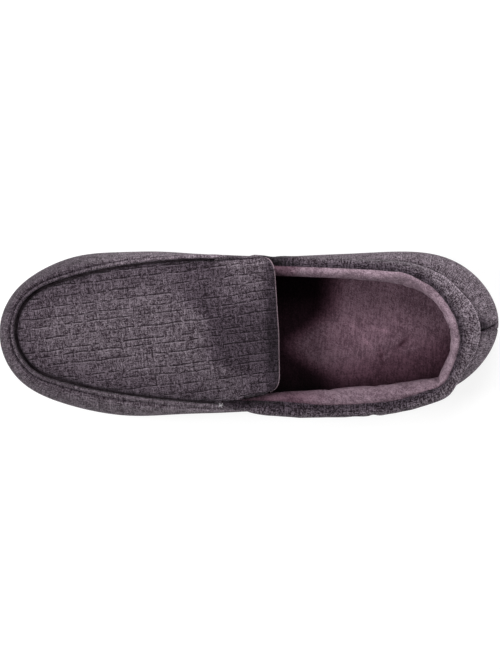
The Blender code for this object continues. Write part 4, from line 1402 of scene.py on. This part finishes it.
def make_wall_lining():
    """The wall's lining: a closed profile carried round the shoe, from the sole up to cuff or vamp."""
    ring = ring_of(np.linspace(0, FULL_TURN, WALL_LINING_COLUMNS, endpoint=False))
    front = front_share(ring)
    top = ring.edge_up - WALL_LINING_DROP - WALL_LINING_SEAM_DROP * front
    lower = np.linspace(0, 1, WALL_LINING_LOWER_ROWS)
    upper = np.linspace(0, 1, WALL_LINING_UPPER_ROWS)[1:]
    insets = ((WALL_CLOTH + WALL_LINING_GAP, WALL_LINING_NEAR_STEP), (WALL, WALL_LINING_FAR_STEP))
    near_face, far_face = (
        wall_rows(ring, inset, ring.edge_in + inset + step * front, top, lower, upper)
        for inset, step in insets
    )
    depth = np.concatenate([near_face[0], far_face[0][::-1]])
    height = np.concatenate([near_face[1], far_face[1][::-1]])
    faces, _, _ = grid_faces(*depth.shape, rows_closed=True, columns_closed=True)
    new_piece("wall_lining", placed(ring, depth, height), faces[:, ::-1], SOCK_VELOUR)


def cuff_ring(columns):
    """Ring columns of the cuff from the outer throat round the heel to the inner throat, and their arc."""
    start = turn_at(CUFF_TIP, False)
    end = turn_at(CUFF_TIP, True) + FULL_TURN
    turn = np.linspace(start, end, columns)
    return ring_of(turn), turn - start


def from_tips(arc):
    """Distance along the cuff to the nearer of its two tips."""
    return np.minimum(arc, arc[-1] - arc)


def cuff_loops(ring, arc, place):
    """Depth and height of the cuff's roll at places along CUFF_ROLL: grown from a tip at either end.

    The roll is tucked in at the outer heel corner, and its outside bulges at CUFF_BULGES.
    """
    grown = smooth_step((ring.place[:, 0] - CUFF_START) / CUFF_RUN)
    padding = CUFF_SLIM + (ring.cuff - CUFF_SLIM) * grown
    rise = CUFF_RISE * (CUFF_LOW + (1 - CUFF_LOW) * grown)
    points = np.array(CUFF_ROLL)[:, None] * np.stack([padding, rise], axis=1)
    low_inside = np.array([p.up < CUFF_ROLL[1].up and p.inwards > CUFF_HALFWAY for p in CUFF_ROLL])[:, None]
    points[..., 0] = np.where(low_inside, np.maximum(points[..., 0], TAIL_SIDE), points[..., 0])
    loop = smooth_line(points, place)
    tuck = CORNER_TUCK * near(*ring.place.T, HEEL_CORNER)
    loop[..., 0] -= tuck * fade(loop[..., 0] / padding, CORNER_TUCK_IN)
    outside = fade(loop[..., 0] / padding, BULGE_OUT) * fade(loop[..., 1] / rise, BULGE_UP)
    for bulge in CUFF_BULGES:
        loop[..., 0] -= outside * bulge.size * near(*ring.place.T, bulge.spot)
    nose = np.clip(from_tips(arc) / CUFF_NOSE, 0, 1)
    nose = np.sqrt(np.clip(1 - (1 - nose) ** 2, 0, 1))
    heart = np.stack([padding * CUFF_HEART.inwards, rise * CUFF_HEART.up], axis=1)
    loop = heart + (loop - heart) * nose[:, None]
    return ring.edge_in + loop[..., 0], ring.edge_up + SEAT_GAP + loop[..., 1]


def seam_place(ring):
    """Where along CUFF_ROLL the cuff's cloth meets the lining: further in at the heel and outer throat."""
    x, y = ring.place.T
    side = np.where(y < 0, SEAM_ROW_OUTER, SEAM_ROW_INNER)
    throat = fade(x, SEAM_THROAT_X) * (y < 0)
    return side + (SEAM_ROW_HEEL - side) * fade(x, SEAM_HEEL_X) + SEAM_ROW_THROAT * throat


def puffed(grid, held):
    """The roll swollen as padded cloth: its grid simulated with air inside while the held rows stay.

    The copy is simulated at the size of a bolster, where cloth settings work, and read back.
    """
    rows, columns = grid.shape[:2]
    faces, _, _ = grid_faces(rows, columns, rows_closed=True)
    mesh = bpy.data.meshes.new("roll_copy")
    mesh.from_pydata((grid.reshape(-1, 3) * PUFF_SCALE).tolist(), [], faces.tolist())
    copy = bpy.data.objects.new("roll_copy", mesh)
    bpy.context.scene.collection.objects.link(copy)
    numbers = np.arange(rows * columns).reshape(rows, columns)
    ends = numbers[:, np.r_[:PUFF_ENDS, -PUFF_ENDS:0]]
    kept = np.union1d(numbers[held], ends)
    copy.vertex_groups.new(name="held").add(kept.tolist(), 1.0, "REPLACE")
    cloth = copy.modifiers.new("Cloth", "CLOTH")
    cloth.settings.quality = 6
    cloth.settings.mass = 0.3
    cloth.settings.tension_stiffness = 12.0
    cloth.settings.compression_stiffness = 12.0
    cloth.settings.shear_stiffness = 6.0
    cloth.settings.bending_stiffness = 0.6
    cloth.settings.shrink_min = PUFF_SLACK
    cloth.settings.use_pressure = True
    cloth.settings.uniform_pressure_force = PUFF_PRESSURE
    cloth.settings.vertex_group_mass = "held"
    cloth.settings.effector_weights.gravity = 0.0
    cloth.point_cache.frame_end = PUFF_FRAMES
    scene = bpy.context.scene
    for step in range(1, PUFF_FRAMES + 1):
        scene.frame_set(step)
    swollen = copy.evaluated_get(bpy.context.evaluated_depsgraph_get()).to_mesh()
    points = np.empty(rows * columns * 3, np.float32)
    swollen.vertices.foreach_get("co", points)
    copy.evaluated_get(bpy.context.evaluated_depsgraph_get()).to_mesh_clear()
    bpy.data.objects.remove(copy)
    scene.frame_set(1)
    move = points.reshape(rows, columns, 3).astype(float) / PUFF_SCALE - grid
    for _ in range(PUFF_EVENING):
        move[:, 1:-1] = (move[:, :-2] + 2 * move[:, 1:-1] + move[:, 2:]) / 4
    size = np.linalg.norm(move, axis=-1, keepdims=True)
    return grid + move * np.minimum(1.0, PUFF_CAP / np.maximum(size, 1e-9))


def finer(grid, rows, columns):
    """A grid read again at more rows and columns, on smooth lines through its points both ways."""
    row = np.linspace(0, grid.shape[0] - 1, rows)
    grid = smooth_line(grid, np.repeat(row[:, None], grid.shape[1], axis=1))
    column = np.linspace(0, grid.shape[1] - 1, columns)
    turned = smooth_line(np.swapaxes(grid, 0, 1), np.repeat(column[:, None], rows, axis=1))
    return np.swapaxes(turned, 0, 1)


def arc_lengths(grid, axis):
    """Distance along a grid's lines from their start."""
    step = np.linalg.norm(np.diff(grid, axis=axis), axis=-1)
    start = np.zeros_like(np.take(step, [0], axis=axis))
    return np.cumsum(np.concatenate([start, step], axis=axis), axis=axis)


def loop_normals(roll):
    """Outward normals of a roll whose last row lies on its first."""
    return -normals_of(np.concatenate([roll[-2:-1], roll, roll[1:2]]))[1:-1]


def simulated_roll():
    """The cuff's roll: its profile carried round the opening, dipped along its seam and swollen by air."""
    ring, arc = cuff_ring(ROLL_COLUMNS)
    seam = seam_place(ring)
    outside = np.linspace(0, 1, ROLL_OUTSIDE)[:, None] * seam
    inside = seam + np.linspace(0, 1, ROLL_INSIDE)[1:, None] * (CUFF_ROLL_END - seam)
    place = np.concatenate([outside, inside])
    roll = placed(ring, *cuff_loops(ring, arc, place))
    full = smooth_step(from_tips(arc) / CUFF_FULL_FROM_TIP)
    dip = bell(np.arange(len(place)) - (ROLL_OUTSIDE - 1), SEAM_DIP_ROWS)[:, None] * full
    roll = roll - loop_normals(roll) * SEAM_DIP * dip[..., None]
    foot = np.arange(len(place) - PUFF_FOOT_ROWS, len(place) - 1)
    held = np.concatenate([[0, 1, ROLL_OUTSIDE - 1], foot])
    roll[:-1, 1:-1] = puffed(roll[:-1, 1:-1], held)
    roll[-1] = roll[0]
    return roll


def cuff_painted_shading(ring, around, from_seam, heel):
    """Painted shade at the cuff's seam, throat, flap and hem fold; painted light at its tip, heel and hem."""
    x, outer = ring.place[:, 0], ring.place[:, 1] < 0
    # Painted shade along the seam, painted shadow of the flap near the inner tip, and painted light on the
    # tip itself.
    tone = 1 - CUFF_SEAM_SHADE * hump(from_seam, CUFF_SEAM_AT)
    tip = fade(x, CUFF_INNER_TIP_X)
    tone = tone * (1 - CUFF_INNER_SHADE * fade(x, CUFF_INNER_X) * (1 - tip) * ~outer)
    tone = tone + CUFF_INNER_LIGHT * tip * ~outer
    # Painted shade at the outer throat, a painted shadow line at the seam, and painted light at the heel and
    # below the hem.
    most = CUFF_THROAT_LEAST + (1 - CUFF_THROAT_LEAST) * fade(x, CUFF_THROAT_MOST_X)
    throat = CUFF_THROAT_SHADE * fade(x, CUFF_THROAT_X) * most * outer
    tone = tone * (1 - throat * hump(from_seam, CUFF_THROAT_AT))
    tone = tone * (1 - CUFF_SEAM_SHADOW_LINE * hump(from_seam, CUFF_SEAM_SHADOW_AT))
    tone = tone + CUFF_HEEL_LIGHT * heel * fade(from_seam, CUFF_HEEL_AT)
    tone = tone + HEM_LIGHT * heel * fade(around, HEM_LIGHT_UNDER)
    return tone * (1 - HEM_SHADE * bell(around - HEM_FROM_FOOT, HEM_SHADE_WIDTH) * heel)


def make_cuff():
    """The padded roll round the opening in heather cloth, and its velour lining with a tail down the wall.

    The simulated roll is read finer, made uneven, hemmed at the heel, and sunk where the lining covers it.
    """
    roll = simulated_roll()
    rows, columns = 2 * roll.shape[0] - 1, 2 * ROLL_COLUMNS - 1
    roll = finer(roll, rows, columns)
    seam_row = 2 * (ROLL_OUTSIDE - 1)
    ring, arc = cuff_ring(columns)
    full = smooth_step(from_tips(arc) / CUFF_FULL_FROM_TIP)
    around = arc_lengths(roll, 0)
    from_seam = around - around[seam_row]
    heel = fade(ring.place[:, 0], CUFF_HEEL_X)

    past_seam = np.clip((np.arange(rows) - seam_row) / (rows - 1 - seam_row), 0, 1)[:, None]
    seam = seam_place(ring)
    place = seam + past_seam * (CUFF_ROLL_END - seam)
    lined = fade(from_seam, LINED_FROM) * fade(place, LINED_TO) * full
    sunk = lined * (LINED_SINK + LINED_SINK_BELOW * fade(place, LINED_BELOW))
    to_heart = roll[:-1].mean(axis=0) - roll
    sinking = to_heart * np.minimum(sunk / np.linalg.norm(to_heart, axis=-1), SINK_MOST)[..., None]
    lumps = ripple(np.broadcast_to(arc, around.shape), around, *CUFF_WAVES) * full
    relief = lumps * (1 - lined) - HEM_DEPTH * bell(around - HEM_FROM_FOOT, HEM_WIDTH) * heel

    points = (roll + loop_normals(roll) * relief[..., None] + sinking)[:-1]
    tone = cuff_painted_shading(ring, around, from_seam, heel)[:-1]
    faces, row, column = grid_faces(*points.shape[:2], rows_closed=True)
    uv = np.stack([arc[column], around.mean(axis=1)[row]], axis=-1)[:, ::-1]
    piece = new_piece("cuff_roll", points, faces[:, ::-1], CUFF_HEATHER, uv, tone)
    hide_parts("cuff")
    make_collar_lining(ring, arc, roll[seam_row:], full)


def lining_painted_shading(ring, run):
    """Painted light and shade of the collar's lining: by side, at the heel, under the flap, at its seam and
    deep inside.
    """
    x, y = ring.place.T
    tone = 1 + LINING_INNER_LIGHT * fade(y, LINING_INNER_Y) - LINING_OUTER_SHADE * fade(y, LINING_OUTER_Y)
    tone = tone + LINING_HEEL_LIGHT * fade(x, LINING_HEEL_X)
    tone = tone * (1 - LINING_FLAP_SHADE * fade(x, LINING_FLAP_X) * (y > 0))
    tone = tone * (1 - LINING_THROAT_SHADE * fade(x, LINING_THROAT_X) * (y < 0))
    tone = tone * (1 - LINING_SEAM_SHADE * bell(run, LINING_SEAM_WIDTH))
    return tone * (1 - LINING_DEEP_SHADE * fade(run, LINING_DEEP_RUN))


def make_collar_lining(ring, arc, roll, full):
    """The collar's lining: from the seam over the inside of the roll, then down the wall as a tail.

    Its middle lies half its thickness under that path, and both faces close round its edges.
    """
    seam = seam_place(ring)
    leave = (LINING_LEAVES - seam) / (CUFF_ROLL_END - seam) * (len(roll) - 1)
    over_roll = smooth_line(roll, np.linspace(0, 1, LINING_ROLL_ROWS)[:, None] * leave)
    shares = np.array(CUFF_TAIL_SHARES)
    tail = wall_rows(ring, TAIL_SIDE, ring.edge_in + TAIL_SIDE, ring.edge_up, np.zeros(1), shares)
    nose = smooth_step(from_tips(arc) / CUFF_NOSE)[None, :, None]
    tail = placed(ring, tail[0][1:], tail[1][1:])
    tail = over_roll[-1] + (tail - over_roll[-1]) * nose
    bridge = over_roll[-1] + (tail[0] - over_roll[-1]) * np.array(LINING_BRIDGE)[:, None, None]
    path = np.concatenate([over_roll, bridge, tail])
    path_rows = np.linspace(0, len(path) - 1, LINING_ROWS)
    grid = smooth_line(path, np.repeat(path_rows[:, None], len(arc), axis=1))
    normal = -normals_of(grid)
    run = arc_lengths(grid, 0)

    puff = ripple(np.broadcast_to(arc, run.shape), run, *LINING_WAVES) * full
    puff = puff + (LINING_PUFF * hump(run, LINING_PUFF_AT) - LINING_DIP * bell(run, LINING_DIP_WIDTH)) * full
    for fold in LINING_FOLDS:
        puff = puff - fold.depth * near(*ring.place.T, fold.spot) * bell(run - fold.run, fold.half_run)
    share = np.clip(np.minimum(run, run[-1] - run) / LINING_ROUND, 0, 1)
    half = LINING_CLOTH / 2 * np.sqrt(np.clip(1 - (1 - share) ** 2, 0, 1)) * nose[..., 0]
    middle = puff - LINING_CLOTH / 2
    over = grid + normal * (middle + half)[..., None]
    under = grid + normal * (middle - half)[..., None]
    points = np.concatenate([over, under[-2:0:-1]])
    faces, _, _ = grid_faces(*points.shape[:2], rows_closed=True)
    tone = lining_painted_shading(ring, run)
    tone = np.concatenate([tone, tone[-2:0:-1]])
    lining = new_piece("collar_lining", points, faces[:, ::-1], COLLAR_VELOUR, tone=tone)


def make_groove_shadow_strip():
    """A dark strip on the raised seam's floor that stands in for its shadow: a flat closed profile carried
    from throat to throat.
    """
    ring = ring_of(np.linspace(turn_at(THROAT, True), turn_at(THROAT, False), SHADOW_STRIP_COLUMNS))
    across, up = np.array(SHADOW_STRIP_PROFILE).T[..., None]
    depth = ring.edge_in + SEAM_MIDDLE + across * (groove_half(ring) + SHADOW_STRIP_OVERLAP)
    points = placed(ring, depth, ring.edge_up + SHADOW_STRIP_UP + up)
    first, last = (
        points[:, [end]].mean(axis=0, keepdims=True).repeat(len(SHADOW_STRIP_PROFILE), axis=0) for end in (0, -1)
    )
    points = np.concatenate([first, points, last], axis=1)
    faces, _, _ = grid_faces(*points.shape[:2], rows_closed=True)
    new_piece("groove_shadow_strip", points, faces, GROOVE_SHADOW_DARK)


def sock_painted_shading(x, y, to_edge, creased):
    """Painted light and shade of the sock: spans along and across it, bells from its rim, and its wrinkles.
    """
    outer_share = SOCK_RIM_LEAST + (1 - SOCK_RIM_LEAST) * fade(y, SOCK_RIM_Y)
    tone = 1 - SOCK_RIM_SHADE * bell(to_edge, SOCK_RIM_WIDTH) * outer_share
    tone = tone * (1 - SOCK_TOE_SHADE * fade(x, SOCK_TOE_X))
    flap_line = SOCK_FLAP_LINE + SOCK_FLAP_BOW * (1 - hump(y, SOCK_FLAP_BOW_Y))
    tone = tone * (1 - SOCK_FLAP_SHADE * fade(x - flap_line, SOCK_FLAP_RUN))
    tone = tone * (1 - SOCK_OUTER_SHADE * bell(to_edge, SOCK_OUTER_WIDTH) * fade(y, SOCK_OUTER_Y))
    aslant = SOCK_SIDE_WAY[0] * x + SOCK_SIDE_WAY[1] * y
    tone = tone * (1 - SOCK_SIDE_SHADE * fade(aslant, SOCK_SIDE_RUN))
    tone = tone * (1 + SOCK_LIGHT * hump(x, SOCK_LIGHT_X) * hump(y, SOCK_LIGHT_Y))
    return tone * (1 + SOCK_CREASE_SHADING * creased)


def make_insole():
    """The padded sock: a crowned sheet that follows the wall inside, level with the sole's upper face."""
    stations = -LENGTH / 2 * np.cos(np.linspace(0, np.pi, SOCK_STATIONS))
    shares = np.linspace(0, 1, SOCK_HALF_COLUMNS) ** SOCK_CROWDING
    spine = np.stack([spine_x(stations), np.full(len(stations), SPINE_SIDE)], axis=1)
    halves = []
    for inner_side in (True, False):
        ring = ring_of(turn_at(stations, inner_side))
        rim = bezier(ring.foot, 0.0, 0.0, INSOLE_RIM_SHARE) + WALL + INSOLE_GAP
        edge = ring.place + ring.inward * rim[:, None]
        level = edge[:, None] + (spine - edge)[:, None] * shares[None, :, None]
        halves.append((level, np.linalg.norm(spine - edge, axis=1)[:, None] * shares))
    (inner_level, inner_across), (outer_level, outer_across) = halves
    outer_level[[0, -1]] = inner_level[[0, -1]]
    level = np.concatenate([inner_level, outer_level[:, -2::-1]], axis=1)
    to_edge = np.concatenate([inner_across, outer_across[:, -2::-1]], axis=1)

    x, y = level[..., 0], level[..., 1]
    height = sole_top(x) + INSOLE_LIFT + INSOLE_THICK - INSOLE_CROWN * bell(to_edge, INSOLE_CROWN_WIDTH)
    from_hollow = np.hypot((x - SOCK_HOLLOW_SPOT.x) / SOCK_HOLLOW_LONG, y - SOCK_HOLLOW_SPOT.y)
    height -= SOCK_HOLLOW * bell(from_hollow, SOCK_HOLLOW_SPOT.reach)
    height += ripple(x, y, SOCK_WAVE) * fade(to_edge, SOCK_WAVE_IN)
    creased = crease_relief(x, y, SOCK_CREASES)
    height += creased
    top = np.concatenate([level, height[..., None]], axis=-1)
    thick = INSOLE_THICK - INSOLE_CROWN
    tone = sock_painted_shading(x, y, to_edge, creased)
    piece = pillow_piece(
        "sock_pad", top, thick, to_edge, SOCK_ROUND, SOCK_VELOUR, BOTH_FOLDS, tone,
    )
    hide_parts("insole")


def tread_relief(x, y):
    """Height of the tread above the sole's underside: cross grooves, and wavy sipes on the lands between."""
    centres = np.concatenate([np.linspace(t.first, t.last, t.count) for t in TREADS])
    nearest = np.abs(x[..., None] - centres).min(axis=-1)
    cut = np.clip((TREAD_WIDTH / 2 + TREAD_DRAFT - nearest) / TREAD_DRAFT, 0, 1) * TREAD_DEPTH
    wave = x + SIPE_WAVE * np.sin(2 * np.pi * y / SIPE_WAVELENGTH)
    sipe = bell((np.mod(wave / SIPE_PITCH, 1.0) - 0.5) * SIPE_PITCH, SIPE_WIDTH) * SIPE_DEPTH
    return np.maximum(cut, sipe * fade(x, SIPE_TOE_X) * fade(x, SIPE_HEEL_X))


def make_outsole():
    """The moulded sole: a stepped, ribbed side carried round the shoe, with tread below and a level top."""
    turn = np.linspace(0, FULL_TURN, SOLE_COLUMNS, endpoint=False)
    ring = ring_of(turn)
    spine = np.pad(ring.spine, ((0, 0), (0, 1)))
    steps = np.linspace(0, len(SOLE_SIDE) - 1, SOLE_SIDE_ROWS)
    side = smooth_line(np.array(SOLE_SIDE)[:, None], steps[:, None])
    outwards, up = side[..., 0], side[..., 1]
    rib_pitch = FULL_TURN / round(FULL_TURN / SIDE_RIB_PITCH)
    rib = np.sin(2 * np.pi * turn / rib_pitch) * (hump(up, SIDE_RIB_UPPER) + hump(up, SIDE_RIB_LOWER))
    depth = ring.foot - outwards - SIDE_RIB * rib
    level = placed(ring, depth, np.zeros_like(depth))
    low = sole_under(level[..., 0])
    level[..., 2] = low + (sole_top(level[..., 0]) - low) * up
    level[..., 2] += fade(up, TREAD_EDGE_UP) * tread_relief(level[..., 0], level[..., 1])

    under_share = np.linspace(0, 1, SOLE_UNDER_ROWS)[1:, None, None]
    under = level[-1] + (spine - level[-1]) * under_share
    under[..., 2] = sole_under(under[..., 0]) + tread_relief(under[..., 0], under[..., 1])
    top_share = np.linspace(1, 0, SOLE_TOP_ROWS)[:-1, None, None]
    top = level[0] + (spine - level[0]) * top_share
    top[..., 2] = sole_top(top[..., 0])
    points = np.concatenate([top, level, under])
    faces, _, _ = grid_faces(*points.shape[:2], columns_closed=True)
    piece = new_piece("moulded_sole", points, faces, RUBBER)
    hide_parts("outsole")


def tube_piece(name, path, radius, material):
    """A round thread: a circle carried along a path, drawn in to a point at both ends."""
    run = np.gradient(path, axis=0)
    run = run / np.linalg.norm(run, axis=1, keepdims=True)
    side = np.cross(run, THREAD_ASIDE)
    side = side / np.linalg.norm(side, axis=1, keepdims=True)
    over = np.cross(run, side)
    turn = np.linspace(0, 2 * np.pi, THREAD_SIDES, endpoint=False)[:, None, None]
    ends = np.minimum(np.arange(len(path)), np.arange(len(path))[::-1])[:, None]
    width = radius * np.sqrt(np.clip(ends / THREAD_POINT_STEPS, 0, 1))
    points = path + width * (np.cos(turn) * side + np.sin(turn) * over)
    faces, _, _ = grid_faces(*points.shape[:2], rows_closed=True)
    return new_piece(name, points, faces, material)


def make_bar_tack():
    """The bar tack at the outer throat: short threads that cross, each bowed up from end to end."""
    ring = ring_of(turn_at(np.array([TACK_X]), False))
    middle = placed(ring, ring.edge_in + TACK_IN, ring.edge_up + TACK_UP)[0]
    steps = np.linspace(-1, 1, TACK_STEPS)
    for number, thread in enumerate(TACK_THREADS, 1):
        way = radians(thread.turn)
        path = np.stack([
            middle[0] + thread.off + steps * thread.half_length * np.cos(way),
            middle[1] + steps * thread.half_length * np.sin(way),
            middle[2] - TACK_BOW * steps**2 + TACK_STACK * number,
        ], axis=1)
        tube_piece(f"bar_tack_{number}", path, TACK_THREAD_HALF, TACK_THREAD)


make_wall()
make_wall_lining()
make_apron()
make_vamp_lining()
make_cuff()
make_insole()
make_outsole()
make_groove_shadow_strip()
make_bar_tack()

# Floor, light and camera, in metres
FLOOR_HALF = 3.0
FLOOR_CORNERS = ((-1, -1), (1, -1), (1, 1), (-1, 1))
FLOOR_GREY = 0.28
FLOOR_GLOW = 0.80
Light = namedtuple("Light", "name place size power")
LIGHTS = (
    Light("toe_light", (-0.95, 0.0, 1.20), 0.5, 15.5),
    Light("side_light", (0.10, 0.80, 1.25), 0.5, 8.0),
    Light("heel_light", (1.5, 0.5, 0.45), 0.9, 10.0),
    Light("inner_light", (0.1, 1.5, 0.35), 0.9, 7.0),
)
SKY_HORIZON = 1.0
SKY_ZENITH = 0.2
SKY_HORIZON_TO = 0.6
CAMERA_TILT = radians(-4.3)
CAMERA_AWAY = 3.0
CAMERA_X = 0.0006
CAMERA_LEVEL = 0.0286
VIEW_WIDTH = 0.28055
SENSOR_WIDTH = 36.0

floor_mesh = bpy.data.meshes.new("floor")
floor_points = [(FLOOR_HALF * x, FLOOR_HALF * y, 0) for x, y in FLOOR_CORNERS]
floor_mesh.from_pydata(floor_points, [], [(0, 1, 2, 3)])
floor_material, _, floor_shader = finish("floor_paper", roughness=0.9, specular=0.1)
floor_shader.inputs["Base Color"].default_value = (FLOOR_GREY, FLOOR_GREY, FLOOR_GREY, 1.0)
floor_shader.inputs["Emission Color"].default_value = (1.0, 1.0, 1.0, 1.0)
floor_shader.inputs["Emission Strength"].default_value = FLOOR_GLOW
floor_mesh.materials.append(floor_material)
floor = bpy.data.objects.new("floor", floor_mesh)
bpy.context.scene.collection.objects.link(floor)


def add_light(row):
    """A square soft light that faces the shoe."""
    lamp = bpy.data.lights.new(row.name, "AREA")
    lamp.size = row.size
    lamp.energy = row.power
    light = bpy.data.objects.new(row.name, lamp)
    light.location = row.place
    light.rotation_euler = (-light.location).to_track_quat("-Z", "Y").to_euler()
    bpy.context.scene.collection.objects.link(light)


for light_row in LIGHTS:
    add_light(light_row)

world = bpy.data.worlds.new("studio")
world.use_nodes = True
sky = world.node_tree
sky_way = add(sky, "ShaderNodeTexCoord").outputs["Generated"]
sky_up = add(sky, "ShaderNodeSeparateXYZ", {0: sky_way}).outputs[2]
sky_light = ramp(sky, sky_up, 0.0, SKY_HORIZON_TO, SKY_HORIZON, SKY_ZENITH)
sky.links.new(sky_light, sky.nodes["Background"].inputs["Strength"])
sky.nodes["Background"].inputs["Color"].default_value = (1.0, 1.0, 1.0, 1.0)
bpy.context.scene.world = world
bpy.context.scene.view_settings.view_transform = "Standard"

camera_data = bpy.data.cameras.new("camera")
camera_data.sensor_fit = "HORIZONTAL"
camera_data.sensor_width = SENSOR_WIDTH
camera_data.lens = SENSOR_WIDTH * CAMERA_AWAY / VIEW_WIDTH
camera = bpy.data.objects.new("camera", camera_data)
camera_back = -np.sin(CAMERA_TILT) * CAMERA_AWAY
camera_up = CAMERA_LEVEL + np.cos(CAMERA_TILT) * CAMERA_AWAY
camera.location = (CAMERA_X, camera_back, camera_up)
camera.rotation_euler = (CAMERA_TILT, 0.0, 0.0)
bpy.context.scene.collection.objects.link(camera)
bpy.context.scene.camera = camera
